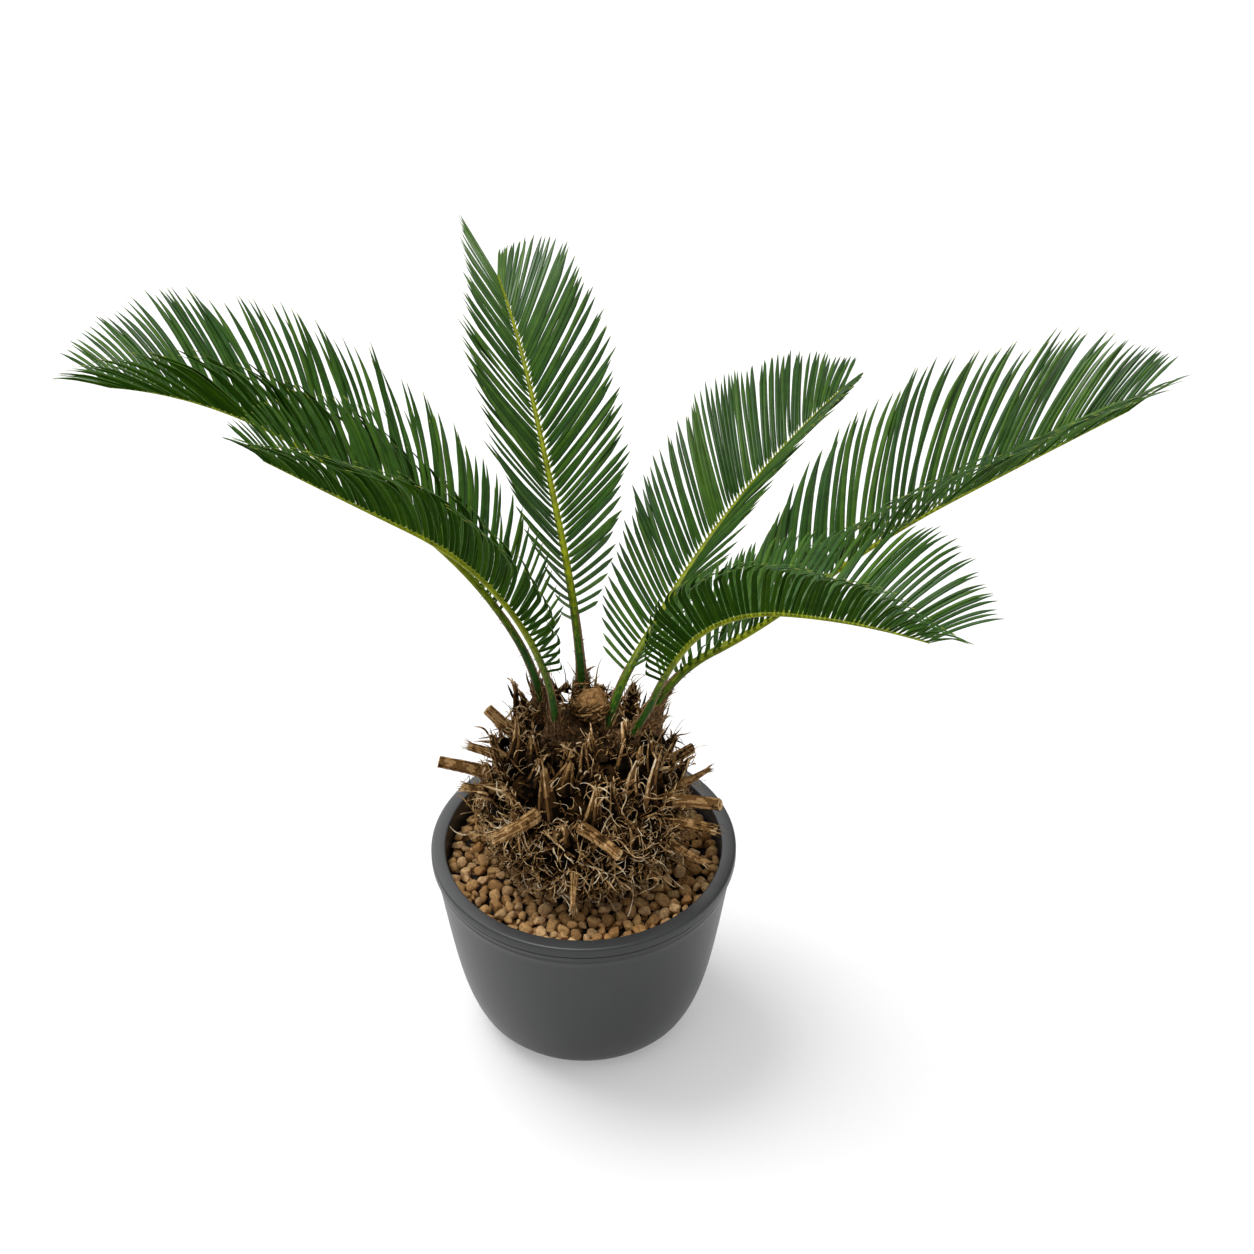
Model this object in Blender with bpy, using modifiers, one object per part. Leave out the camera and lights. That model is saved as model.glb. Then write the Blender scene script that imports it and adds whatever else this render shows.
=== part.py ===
"""Sago palm (Cycas revoluta) with six arching fronds in a round, rimmed pot.

Metres, +Z up. The origin is the centre of the pot's flat underside. Azimuths are in
degrees from +X towards +Y; the front of the plant is at -Y.
"""
import math

import bpy
import bmesh
import numpy as np
from mathutils import Vector

GAP = 0.0003                # clearance kept between touching pieces

# Pot: a turned shell with a rounded rim and a shallow double groove under it.
POT_HEIGHT = 0.197
POT_FOOT_RADIUS = 0.088
POT_BODY_TOP_RADIUS = 0.1385
POT_BODY_TOP_Z = 0.183
POT_BELLY = 0.0149          # how far the side swells past a straight cone
POT_BELLY_POWER = 0.486     # below 1 the swell sits low on the side
POT_BASE_RADIUS = 0.0895    # flat underside
POT_FOOT_ROUNDING = ((0.0020, 0.0075), (0.0014, 0.0015))     # (cut into the side, height)
POT_SIDE_RINGS = (0.150, 0.110, 0.070, 0.038, 0.018)
POT_INSIDE_RINGS = (0.045, 0.085, 0.130)
POT_RIM_RADIUS = 0.1415
POT_MOUTH_RADIUS = 0.128
POT_MOUTH_ROUND = 0.0012
POT_RIM_ROUNDING = ((0.0044, 0.0), (0.0013, 0.0013), (0.0, 0.0044), (0.0, 0.0090))
POT_BAND = ((0.0024, 0.0110), (0.0020, 0.0128), (0.0024, 0.0186))
POT_BAND_FOOT_Z = 0.1765
POT_WALL = 0.0085
POT_FLOOR = 0.012
POT_STEPS = 48

# Bed of pebbles and soil inside the pot.
BED_TOP_Z = 0.175

# Trunk: a squat ball of old leaf bases, cut flat where it meets the bed.
TRUNK_STEPS = 28
TRUNK_PROFILE = (           # (radius, height), tip to ground
    (0.035, 0.358), (0.050, 0.345), (0.067, 0.325), (0.083, 0.300), (0.094, 0.275),
    (0.100, 0.250), (0.100, 0.225), (0.088, 0.200), (0.062, BED_TOP_Z + GAP))
TRUNK_TOP_Z = 0.360

# Woolly bud in the middle of the crown.
BUD_RADIUS = 0.013
BUD_HEIGHT = 0.018
BUD_PLACE = (0.009, 0.004)
BUD_STEPS = 16
BUD_RING_ANGLES = (90, 66, 44, 22, 0)

# Stems of cut fronds: azimuth and height on the trunk, heading and tilt of the stem,
# length outside the trunk, radius at the root and at the end.
STEM_ROOT_DEPTH = 0.009
STEMS = {
    "stem_left_long": (175, 0.277, 176, 14, 0.040, 0.0056, 0.0050),
    "stem_left_upper": (158, 0.314, 158, 38, 0.025, 0.0056, 0.0050),
    "stem_left_small": (173, 0.297, 172, 18, 0.021, 0.0045, 0.0036),
    "stem_left_lower": (201, 0.292, 203, 22, 0.030, 0.0048, 0.0036),
    "stem_right_long": (-22, 0.279, -21, 13, 0.042, 0.0058, 0.0054),
    "stem_right_split": (-9, 0.282, -12, 42, 0.034, 0.0042, 0.0020),
    "stem_right_knob": (-25, 0.260, -24, 5, 0.034, 0.0052, 0.0048),
    "stem_right_root": (-29, 0.236, -28, -16, 0.030, 0.0040, 0.0026),
    "stem_front_pale": (236, 0.290, 222, 2, 0.040, 0.0060, 0.0052),
    "stem_front_mid": (-85, 0.288, -40, -10, 0.034, 0.0054, 0.0050),
    "stem_front_spike": (-94, 0.236, -94, -38, 0.020, 0.0036, 0.0020),
    "stem_back_left": (122, 0.258, 120, 2, 0.026, 0.0056, 0.0048),
    "stem_back_mid": (82, 0.262, 84, 10, 0.030, 0.0054, 0.0046),
    "stem_back_right": (38, 0.245, 36, 0, 0.028, 0.0056, 0.0050),
}

# Fronds. "foot" is where the midrib leaves the crown and "below" is how much of it is
# sunk further down into the trunk; "heading" is its azimuth there and "sweep" how far
# the heading turns by the tip; "arch" is the midrib's tilt above the horizon at the
# ARCH_AT shares of its length. Each side's leaflets are given at the LEAF_AT shares of
# the leafy stretch: "lean" is the angle they make with the midrib, "keel" how steeply
# they rise from the frond's own plane, "reach" their length in mm. "bow" is how much
# their tips bend forward, down and outward. The blade is the sheet that they span.
ARCH_AT = (0.0, 0.15, 0.35, 0.65, 1.0)
LEAF_AT = (0.0, 0.25, 0.5, 0.75, 1.0)
FRONDS = {
    "frond_left_back": dict(
        foot=(-0.037, 0.0155, 0.352), below=0.016, heading=160, sweep=5, length=0.512,
        arch=(84, 60, 40, 26, -6), leafy_from=0.20,
        left=dict(lean=(64, 62, 61, 54, 38), keel=(80, 76, 70, 62, 54),
                  reach=(70, 119, 127, 98, 46), bow=(0.10, 0.04, 0.04)),
        right=dict(lean=(60, 51, 49, 49, 38), keel=(38, 44, 50, 54, 53),
                   reach=(79, 136, 131, 112, 52), bow=(0.24, 0.08, 0.10))),
    "frond_left_front": dict(
        foot=(-0.024, -0.016, 0.354), below=0.018, heading=188, sweep=1, length=0.410,
        arch=(90, 75, 61, 36, 37), leafy_from=0.15,
        left=dict(lean=(66, 54, 55, 50, 34), keel=(44, 52, 62, 61, 53),
                  reach=(48, 110, 130, 103, 48), bow=(0.18, 0.07, 0.11)),
        right=dict(lean=(88, 70, 58, 44, 24), keel=(62, 56, 54, 52, 52),
                   reach=(24, 80, 123, 108, 42), bow=(0.12, 0.12, 0.08))),
    "frond_middle": dict(
        foot=(0.0, 0.0336, 0.352), below=0.018, heading=106, sweep=-2, length=0.426,
        arch=(84, 62, 41, 34, 3), leafy_from=0.16,
        left=dict(lean=(72, 61, 54, 45, 27), keel=(58, 52, 45, 46, 54),
                  reach=(42, 104, 107, 74, 76), bow=(0.21, 0.09, 0.0)),
        right=dict(lean=(74, 72, 65, 51, 20), keel=(53, 56, 55, 49, 44),
                   reach=(34, 108, 121, 102, 34), bow=(0.17, 0.12, 0.03))),
    "frond_right_back": dict(
        foot=(0.022, -0.0107, 0.341), below=0.010, heading=56, sweep=-3, length=0.433,
        arch=(74, 32, 27, 13, 5), leafy_from=0.13,
        left=dict(lean=(78, 60, 54, 42, 20), keel=(42, 44, 42, 38, 36),
                  reach=(44, 98, 123, 99, 42), bow=(0.18, 0.14, 0.09)),
        right=dict(lean=(70, 60, 50, 39, 24), keel=(48, 56, 61, 61, 56),
                   reach=(40, 92, 103, 68, 22), bow=(0.16, 0.09, 0.09))),
    "frond_right_far": dict(
        foot=(0.0658, 0.0113, 0.3513), below=0.045, heading=16, sweep=3, length=0.505,
        arch=(68, 21, 36, 21, 19), leafy_from=0.13,
        left=dict(lean=(68, 57, 57, 44, 26), keel=(49, 52, 56, 55, 51),
                  reach=(60, 118, 146, 130, 60), bow=(0.20, 0.08, 0.06)),
        right=dict(lean=(70, 67, 66, 56, 40), keel=(72, 66, 60, 60, 61),
                   reach=(44, 116, 122, 106, 56), bow=(0.10, 0.09, 0.05))),
    "frond_right_front": dict(
        foot=(0.0442, -0.0196, 0.346), below=0.016, heading=-27, sweep=1, length=0.376,
        arch=(61, 72, 59, 15, -1), leafy_from=0.20,
        left=dict(lean=(84, 84, 82, 70, 42), keel=(42, 36, 30, 28, 55),
                  reach=(40, 75, 102, 146, 72), bow=(-0.04, 0.24, 0.02)),
        right=dict(lean=(60, 54, 62, 66, 52), keel=(38, 55, 64, 65, 58),
                   reach=(44, 98, 120, 110, 60), bow=(0.06, 0.0, 0.08))),
}
BLADE_THICKNESS = 0.0010
BLADE_SPLIT = 0.52          # share of the midrib where each frond is split at its bend
BLADE_END = 0.985
SPLIT_GAP = 0.0005
BLADE_ROWS = 8
BLADE_COLUMNS = 3
RIB_RADIUS = 0.0054         # at the foot
RIB_TAPER = 0.84            # share of the radius lost by the tip
RIB_TAPER_POWER = 0.60      # below 1 the midrib thins soonest near the foot
RIB_ROWS = 9
MIDRIB_STEPS = 300          # steps that the midrib's curve is added up in

POT_GREY = (0.055, 0.058, 0.060)
PEBBLE_TAN = (0.26, 0.17, 0.10)
TRUNK_BROWN = (0.15, 0.10, 0.06)
WOOL_TAN = (0.30, 0.20, 0.12)
STEM_BROWN = (0.22, 0.15, 0.09)
RIB_GREEN = (0.20, 0.26, 0.03)
LEAF_GREEN = (0.035, 0.10, 0.03)


def clear_scene():
    for obj in list(bpy.data.objects):
        bpy.data.objects.remove(obj, do_unlink=True)


def new_collection(name):
    collection = bpy.data.collections.new(name)
    bpy.context.scene.collection.children.link(collection)
    return collection


def principled(name, color, roughness, metallic=0.0):
    material = bpy.data.materials.new(name)
    material.use_nodes = True
    shader = material.node_tree.nodes["Principled BSDF"]
    shader.inputs["Base Color"].default_value = (*color, 1.0)
    shader.inputs["Roughness"].default_value = roughness
    shader.inputs["Metallic"].default_value = metallic
    return material


def finish(obj, collection, material, smooth_angle=40):
    collection.objects.link(obj)
    obj.data.materials.append(material)
    if obj.type == "MESH":
        obj.data.shade_smooth()
        obj.data.set_sharp_from_angle(angle=math.radians(smooth_angle))
    return obj


def polyline_mesh(name, points):
    """A chain of edges in the XZ plane, from (radius, height) pairs."""
    mesh = bpy.data.meshes.new(name)
    mesh.from_pydata([(r, 0.0, z) for r, z in points],
                     [(i, i + 1) for i in range(len(points) - 1)], [])
    return mesh


def turned(name, points, steps, collection, material, smooth_angle=40):
    """A solid of revolution about Z. The points run down the outer side."""
    obj = bpy.data.objects.new(name, polyline_mesh(name, points))
    screw = obj.modifiers.new("Turn", "SCREW")
    screw.axis = "Z"
    screw.angle = 2 * math.pi
    screw.steps = steps
    screw.render_steps = steps
    screw.use_merge_vertices = True
    screw.merge_threshold = 0.0001
    screw.use_smooth_shade = True
    return finish(obj, collection, material, smooth_angle)


def pot_side(z):
    """Outer radius of the pot's plain side at height z."""
    t = z / POT_BODY_TOP_Z
    straight = POT_FOOT_RADIUS + (POT_BODY_TOP_RADIUS - POT_FOOT_RADIUS) * t
    return straight + POT_BELLY * math.sin(math.pi * t ** POT_BELLY_POWER)


def pot_inside(z):
    return min(pot_side(z) - POT_WALL, POT_MOUTH_RADIUS)


def pot_profile():
    """Up the inside, over the rim and down the outer side."""
    points = [(0.0, POT_FLOOR)]
    for z in (POT_FLOOR, *POT_INSIDE_RINGS, BED_TOP_Z):
        points.append((pot_inside(z), z))
    points += [(POT_MOUTH_RADIUS, POT_HEIGHT - POT_MOUTH_ROUND),
               (POT_MOUTH_RADIUS + POT_MOUTH_ROUND, POT_HEIGHT)]
    for inset, drop in POT_RIM_ROUNDING + POT_BAND:
        points.append((POT_RIM_RADIUS - inset, POT_HEIGHT - drop))
    for z in (POT_BAND_FOOT_Z, *POT_SIDE_RINGS):
        points.append((pot_side(z), z))
    for cut, z in POT_FOOT_ROUNDING:
        points.append((pot_side(z) - cut, z))
    points += [(POT_BASE_RADIUS, 0.0), (0.0, 0.0)]
    return points


def bed_profile():
    points = [(0.0, BED_TOP_Z)]
    for z in (BED_TOP_Z, *reversed(POT_INSIDE_RINGS), POT_FLOOR + GAP):
        points.append((pot_inside(z) - GAP, z))
    points.append((0.0, POT_FLOOR + GAP))
    return points


def trunk_radius(z):
    heights = [p[1] for p in TRUNK_PROFILE][::-1]
    radii = [p[0] for p in TRUNK_PROFILE][::-1]
    return float(np.interp(z, heights, radii))


def heading_vector(azimuth, tilt):
    a, e = math.radians(azimuth), math.radians(tilt)
    return np.array((math.cos(e) * math.cos(a), math.cos(e) * math.sin(a), math.sin(e)))


def rod(name, points, radii, collection, material):
    """A tapered round bar along the points: a curve with a bevel and filled caps."""
    curve = bpy.data.curves.new(name, "CURVE")
    curve.dimensions = "3D"
    curve.bevel_depth = 1.0
    curve.bevel_resolution = 2
    curve.use_fill_caps = True
    spline = curve.splines.new("POLY")
    spline.points.add(len(points) - 1)
    for point, place, radius in zip(spline.points, points, radii):
        point.co = (*place, 1.0)
        point.radius = radius
    obj = bpy.data.objects.new(name, curve)
    return finish(obj, collection, material)


def as_mesh(obj, name, collection):
    """A mesh copy of a curve object, its loose caps welded."""
    graph = bpy.context.evaluated_depsgraph_get()
    mesh = bpy.data.meshes.new_from_object(obj.evaluated_get(graph))
    shape = bmesh.new()
    shape.from_mesh(mesh)
    bmesh.ops.remove_doubles(shape, verts=shape.verts, dist=0.00001)
    bmesh.ops.recalc_face_normals(shape, faces=shape.faces)
    shape.to_mesh(mesh)
    shape.free()
    copy = bpy.data.objects.new(name, mesh)
    copy.matrix_world = obj.matrix_world
    collection.objects.link(copy)
    bpy.data.objects.remove(obj, do_unlink=True)
    return copy


def socket(name, points, radii, cutters, material):
    """Cutter for the hole that a rod's buried end sits in, GAP wider all round."""
    along = points[0] - points[1]
    along /= np.linalg.norm(along)
    deeper = [points[0] + along * GAP] + list(points[1:])
    guide = rod(name + "_guide", deeper, [r + GAP for r in radii], cutters, material)
    cutter = as_mesh(guide, name, cutters)
    cutter.hide_render = True
    cutter.display_type = "WIRE"
    return cutter


def midrib(frond, shares):
    """Points on the midrib with the along, left and up directions there."""
    steps = MIDRIB_STEPS
    grid = (np.arange(steps) + 0.5) / steps

    def directions(t):
        tilt = np.radians(np.interp(t, ARCH_AT, frond["arch"]))
        head = np.radians(frond["heading"] + frond["sweep"] * t)
        along = np.stack([np.cos(tilt) * np.cos(head), np.cos(tilt) * np.sin(head),
                          np.sin(tilt)], 1)
        left = np.stack([-np.sin(head), np.cos(head), 0 * head], 1)
        return along, left, np.cross(along, left)

    path = np.vstack([np.zeros(3), np.cumsum(directions(grid)[0], 0)])
    path = path * frond["length"] / steps + np.array(frond["foot"])
    shares = np.atleast_1d(np.asarray(shares, float))
    at = np.linspace(0, 1, steps + 1)
    points = np.stack([np.interp(shares, at, path[:, i]) for i in range(3)], 1)
    return (points, *directions(shares))


def rib_radius(t):
    return RIB_RADIUS * (1 - RIB_TAPER * np.clip(t, 0, 1) ** RIB_TAPER_POWER)


def leaflet_point(frond, side, t, across):
    """The point at a share of a leaflet's length, for the leaflet at share t."""
    leaf = frond[side]
    sign = 1.0 if side == "left" else -1.0
    w = (t - frond["leafy_from"]) / (1 - frond["leafy_from"])
    root, along, left, up = (v[0] for v in midrib(frond, t))
    lean = math.radians(np.interp(w, LEAF_AT, leaf["lean"]))
    keel = math.radians(np.interp(w, LEAF_AT, leaf["keel"]))
    reach = np.interp(w, LEAF_AT, leaf["reach"]) / 1000
    forward, down, outward = leaf["bow"]
    rise = sign * left * math.cos(keel) + up * math.sin(keel)
    away = sign * left * math.sin(keel) - up * math.cos(keel)
    straight = along * math.cos(lean) + rise * math.sin(lean)
    bend = along * forward + away * outward - np.array((0, 0, 1)) * down
    start = (rib_radius(t) + GAP) / math.sin(lean) / reach
    x = start + (1 - start) * across
    return root + reach * (straight * x + bend * x * x)


def blade(name, frond, side, first, last, collection, material):
    """A thin sheet that the leaflets of one side span between two midrib shares."""
    shape = bmesh.new()
    bmesh.ops.create_grid(shape, x_segments=BLADE_ROWS, y_segments=BLADE_COLUMNS, size=0.5)
    for vert in shape.verts:
        t = first + (last - first) * (vert.co.x + 0.5)
        vert.co = Vector(leaflet_point(frond, side, t, vert.co.y + 0.5))
    mesh = bpy.data.meshes.new(name)
    shape.to_mesh(mesh)
    shape.free()
    obj = bpy.data.objects.new(name, mesh)
    solid = obj.modifiers.new("Thickness", "SOLIDIFY")
    solid.thickness = BLADE_THICKNESS
    solid.offset = 0.0
    return finish(obj, collection, material)


def build_frond(name, frond, plant, cutters, rib_material, leaf_material):
    half = SPLIT_GAP / 2 / frond["length"]
    lower = np.linspace(0, BLADE_SPLIT - half, RIB_ROWS)
    upper = np.linspace(BLADE_SPLIT + half, 1, RIB_ROWS)
    points, along = midrib(frond, lower)[:2]
    sunk = points[0] - along[0] * frond["below"]
    low_points = [sunk] + list(points)
    low_radii = [RIB_RADIUS] + [float(rib_radius(t)) for t in lower]
    cutter = socket(name + "_socket", low_points[:4], low_radii[:4], cutters, rib_material)
    rod(name + "_rib_lower", low_points, low_radii, plant, rib_material)
    rod(name + "_rib_upper", list(midrib(frond, upper)[0]),
        [float(rib_radius(t)) for t in upper], plant, rib_material)
    for side in ("left", "right"):
        for part, first, last in (("inner", frond["leafy_from"], BLADE_SPLIT - half),
                                  ("outer", BLADE_SPLIT + half, BLADE_END)):
            blade(f"{name}_{side}_{part}", frond, side, first, last, plant, leaf_material)
    return cutter


def build_stem(name, spec, plant, cutters, material):
    azimuth, z, heading, tilt, length, root_radius, end_radius = spec
    surface = heading_vector(azimuth, 0) * trunk_radius(z) + np.array((0, 0, z))
    direction = heading_vector(heading, tilt)
    points = [surface - direction * STEM_ROOT_DEPTH, surface, surface + direction * length]
    radii = [root_radius, root_radius, end_radius]
    cutter = socket(name + "_socket", points, radii, cutters, material)
    rod(name, points, radii, plant, material)
    return cutter


def main():
    clear_scene()
    plant = new_collection("sago_palm")
    cutters = new_collection("cutters")
    pot_grey = principled("pot_grey", POT_GREY, 0.45)
    pebble_tan = principled("pebble_tan", PEBBLE_TAN, 0.9)
    trunk_brown = principled("trunk_brown", TRUNK_BROWN, 0.9)
    wool_tan = principled("wool_tan", WOOL_TAN, 0.95)
    stem_brown = principled("stem_brown", STEM_BROWN, 0.85)
    rib_green = principled("rib_green", RIB_GREEN, 0.5)
    leaf_green = principled("leaf_green", LEAF_GREEN, 0.45)

    turned("pot", pot_profile(), POT_STEPS, plant, pot_grey, 30)
    turned("pebble_bed", bed_profile(), POT_STEPS, plant, pebble_tan)
    outline = [(0.0, TRUNK_TOP_Z), *TRUNK_PROFILE, (0.0, BED_TOP_Z + GAP)]
    trunk = turned("trunk", outline, TRUNK_STEPS, plant, trunk_brown, 60)

    bud_z = TRUNK_TOP_Z + GAP
    arc = np.radians(BUD_RING_ANGLES)
    dome = [(BUD_RADIUS * math.cos(a), BUD_HEIGHT * math.sin(a)) for a in arc]
    dome[0] = (0.0, BUD_HEIGHT)
    bud = turned("crown_bud", dome + [(0.0, 0.0)], BUD_STEPS, plant, wool_tan)
    bud.location = (*BUD_PLACE, bud_z)

    sockets = [build_frond(name, frond, plant, cutters, rib_green, leaf_green)
               for name, frond in FRONDS.items()]
    sockets += [build_stem(name, spec, plant, cutters, stem_brown)
                for name, spec in STEMS.items()]
    for cutter in sockets:
        cut = trunk.modifiers.new(cutter.name, "BOOLEAN")
        cut.operation = "DIFFERENCE"
        cut.solver = "EXACT"
        cut.object = cutter


main()
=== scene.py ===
"""Looks of the sago palm (Cycas revoluta) in its round pot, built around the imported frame.

Metres, +Z up, origin at the centre of the pot's underside. Angles in tables are degrees,
and azimuths run from +X towards +Y; the front of the plant is at -Y.
"""
import math

import bmesh
import bpy
import numpy as np
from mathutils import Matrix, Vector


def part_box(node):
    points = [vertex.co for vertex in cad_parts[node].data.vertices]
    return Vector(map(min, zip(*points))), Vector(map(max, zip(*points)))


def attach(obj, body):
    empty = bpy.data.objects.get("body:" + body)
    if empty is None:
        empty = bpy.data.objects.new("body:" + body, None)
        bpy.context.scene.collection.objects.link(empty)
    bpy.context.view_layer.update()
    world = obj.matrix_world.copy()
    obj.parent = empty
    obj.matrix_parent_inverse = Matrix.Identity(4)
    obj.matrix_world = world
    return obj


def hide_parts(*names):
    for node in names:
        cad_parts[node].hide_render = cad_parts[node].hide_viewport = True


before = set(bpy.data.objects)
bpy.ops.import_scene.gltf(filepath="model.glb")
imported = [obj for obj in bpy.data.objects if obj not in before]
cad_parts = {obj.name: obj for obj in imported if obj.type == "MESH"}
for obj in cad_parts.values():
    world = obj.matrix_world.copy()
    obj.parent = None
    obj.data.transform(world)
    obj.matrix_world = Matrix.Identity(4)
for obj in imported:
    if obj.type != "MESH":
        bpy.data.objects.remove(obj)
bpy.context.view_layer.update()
UP = np.array((0, 0, 1.0))


# Helpers

def mm(value):
    return value / 1000


def shaded(color, share):
    return [c * share for c in color]


def unit(vectors):
    return vectors / np.maximum(np.linalg.norm(vectors, axis=-1, keepdims=True), 1e-12)


def level(turn):
    """Level unit vectors at angles in radians round Z."""
    return np.stack([np.cos(turn), np.sin(turn), 0 * turn], -1)


def pointing(azimuth, tilt=0.0):
    """Unit vectors at degrees round Z and degrees above the horizon."""
    tilt = np.radians(tilt)[..., None]
    return level(np.radians(azimuth)) * np.cos(tilt) + UP * np.sin(tilt)


def turns(count, offset=0.0):
    """Angles in radians that go once round in equal steps."""
    return (np.arange(count) + offset) / count * 2 * math.pi


def spokes(turn, first, second):
    """Directions at angles in radians that go from first towards second."""
    return np.outer(np.cos(turn), first) + np.outer(np.sin(turn), second)


class Pile:
    """Gathers many small shapes into one mesh."""

    def __init__(self):
        self.points, self.blocks, self.total = [], [], 0

    def add(self, points, *blocks):
        """Each block is (faces, slots): point numbers (..., corners) and slots (...)."""
        for faces, slots in blocks:
            self.blocks.append((faces.reshape(-1, faces.shape[-1]) + self.total,
                                np.broadcast_to(slots, faces.shape[:-1]).ravel()))
        self.points.append(points.reshape(-1, 3))
        self.total += points.size // 3

    def build(self, name, materials, slot, *nodes, sharp=None):
        """Makes the mesh and puts it on the plant, in place of the nodes it stands for."""
        faces = [face for block, _ in self.blocks for face in block.tolist()]
        mesh = bpy.data.meshes.new(name)
        mesh.from_pydata(np.concatenate(self.points), [], faces)
        mesh.polygons.foreach_set("material_index", np.concatenate([s for _, s in self.blocks]))
        for material in materials:
            mesh.materials.append(material)
        mesh.shade_smooth()
        if sharp:
            mesh.set_sharp_from_angle(angle=math.radians(sharp))
        obj = add_object(name, mesh)
        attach(obj, "root")
        if nodes:
            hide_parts(*nodes)


def add_object(name, data):
    obj = bpy.data.objects.new(name, data)
    bpy.context.scene.collection.objects.link(obj)
    return obj


def ring_faces(rows, columns, flip=False):
    """Quads (rows - 1, columns, 4) between rings of points, and the faces of both ends."""
    here = np.arange(columns)
    there = (here + 1) % columns
    row = np.arange(rows - 1)[:, None] * columns
    quads = np.stack([row + here, row + there, row + columns + there, row + columns + here], -1)
    first, last = here[::-1], (rows - 1) * columns + here
    if flip:
        return quads[..., (0, 3, 2, 1)], first[::-1], last[::-1]
    return quads, first, last


def loft(pile, rings, slots, ends=None, flip=False):
    """Closed bars through rings (k, n, m, 3), one slot for each face (k, n - 1, m)."""
    k, n, m = rings.shape[:3]
    slots = np.broadcast_to(slots, (k, n - 1, m))
    quads, first, last = ring_faces(n, m, flip)
    bar = np.arange(k)[:, None] * n * m
    first_slot, last_slot = ends or (slots[:, 0, 0], slots[:, -1, 0])
    pile.add(rings, (bar[..., None, None] + quads, slots), (bar + first, first_slot),
             (bar + last, last_slot))


def sweep(pile, paths, sides, wide, thick, ring, slots):
    """Bars along paths (k, n, 3) whose ring's first axis lies along sides (k, n, 3)."""
    forward = unit(np.gradient(paths, axis=1))
    sides = unit(sides - (sides * forward).sum(-1, keepdims=True) * forward)
    ups = np.cross(forward, sides)
    rings = (paths[:, :, None]
             + sides[:, :, None] * (wide[..., None] * ring[:, 0])[..., None]
             + ups[:, :, None] * (thick[..., None] * ring[:, 1])[..., None])
    loft(pile, rings, slots)


# Materials

NOISE_DETAIL = 4.0
RELIEF_DETAIL = 5.0
RAMP_ENDS = (0.35, 0.65)        # noise values that give the darker and the full colour
COAT_ROUGHNESS = 0.32


def set_inputs(tree, node, **inputs):
    """Sets inputs, with _ for the spaces in their names, or links outputs to them."""
    for name, value in inputs.items():
        socket = node.inputs[name.replace("_", " ")]
        if isinstance(value, bpy.types.NodeSocket):
            tree.links.new(value, socket)
        else:
            socket.default_value = value


def add_node(tree, kind, **inputs):
    node = tree.nodes.new("ShaderNode" + kind)
    set_inputs(tree, node, **inputs)
    return node


def node_material(name, color, roughness, dark, scale=200.0, bump=0.0, bump_scale=1200.0,
                  bump_size=0.0005, specular=0.5, coat=0.0, roughness_span=0.08):
    """Principled material whose colour and roughness drift between two values by noise."""
    material = bpy.data.materials.new(name)
    material.use_nodes = True
    tree = material.node_tree
    source = add_node(tree, "TexCoord").outputs["Object"]
    drift = add_node(tree, "TexNoise", Vector=source, Scale=scale, Detail=NOISE_DETAIL)
    ramp = add_node(tree, "ValToRGB", Fac=drift.outputs["Fac"])
    for element, position, shade in zip(ramp.color_ramp.elements, RAMP_ENDS, (dark, color)):
        element.position = position
        element.color = (*shade, 1)
    span = add_node(tree, "MapRange", Value=drift.outputs["Fac"],
                    To_Min=roughness - roughness_span, To_Max=roughness + roughness_span)
    shader = tree.nodes["Principled BSDF"]
    set_inputs(tree, shader, Base_Color=ramp.outputs["Color"],
               Roughness=span.outputs["Result"], Specular_IOR_Level=specular,
               Coat_Weight=coat, Coat_Roughness=COAT_ROUGHNESS)
    if bump:
        relief = add_node(tree, "TexNoise", Vector=source, Scale=bump_scale,
                          Detail=RELIEF_DETAIL)
        lift = add_node(tree, "Bump", Strength=bump, Distance=bump_size,
                        Height=relief.outputs["Fac"])
        set_inputs(tree, shader, Normal=lift.outputs["Normal"])
    return material


# Pot

POT_HEIGHT = 0.197
POT_FOOT_RADIUS = 0.088
POT_BODY_TOP_RADIUS = 0.1385
POT_BODY_TOP_Z = 0.183
POT_BELLY = 0.0149          # how far the side swells past a straight cone
POT_BELLY_POWER = 0.486     # below 1 the swell sits low on the side
POT_BASE_RADIUS = 0.0895
POT_RIM_RADIUS = 0.1415
POT_MOUTH_RADIUS = 0.128
POT_WALL = 0.0085
POT_FLOOR = 0.012
POT_STEPS = 180
POT_SHARP = 50              # edges sharper than this stay crisp
POT_INSIDE_TOP = 0.150
POT_SIDE_SPAN = (0.174, 0.016)
BED_TOP_Z = 0.175
# Rounded edges: inset from the mouth or the rim's side, depth below the rim, and radius,
# in mm, first and last angle, number of points
MOUTH_EDGE = (-1.6, 1.6, 1.6, 180, 90, 5)
RIM_TOP_EDGE = (2.6, 2.6, 2.6, 90, 0, 7)
RIM_LOW_EDGE = (1.2, 8.8, 1.2, 0, -80, 5)
BAND_EDGE = (2.6, 12.6, 1.0, 80, -60, 5)
# Grooves over and under the plain band: inset and depth in mm
UPPER_GROOVE = ((2.4, 10.2), (2.6, 11.2))
LOWER_GROOVE = ((2.3, 16.8), (3.3, 17.6), (3.5, 18.6), (3.1, 19.8))
FOOT_EDGE = ((0.1012, 0.0115), (0.0972, 0.0075), (0.0930, 0.0035), (0.0905, 0.0008))


def pot_side(z):
    """Radius of the pot's outer side at a height."""
    t = z / POT_BODY_TOP_Z
    straight = POT_FOOT_RADIUS + (POT_BODY_TOP_RADIUS - POT_FOOT_RADIUS) * t
    return straight + POT_BELLY * math.sin(math.pi * t ** POT_BELLY_POWER)


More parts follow.
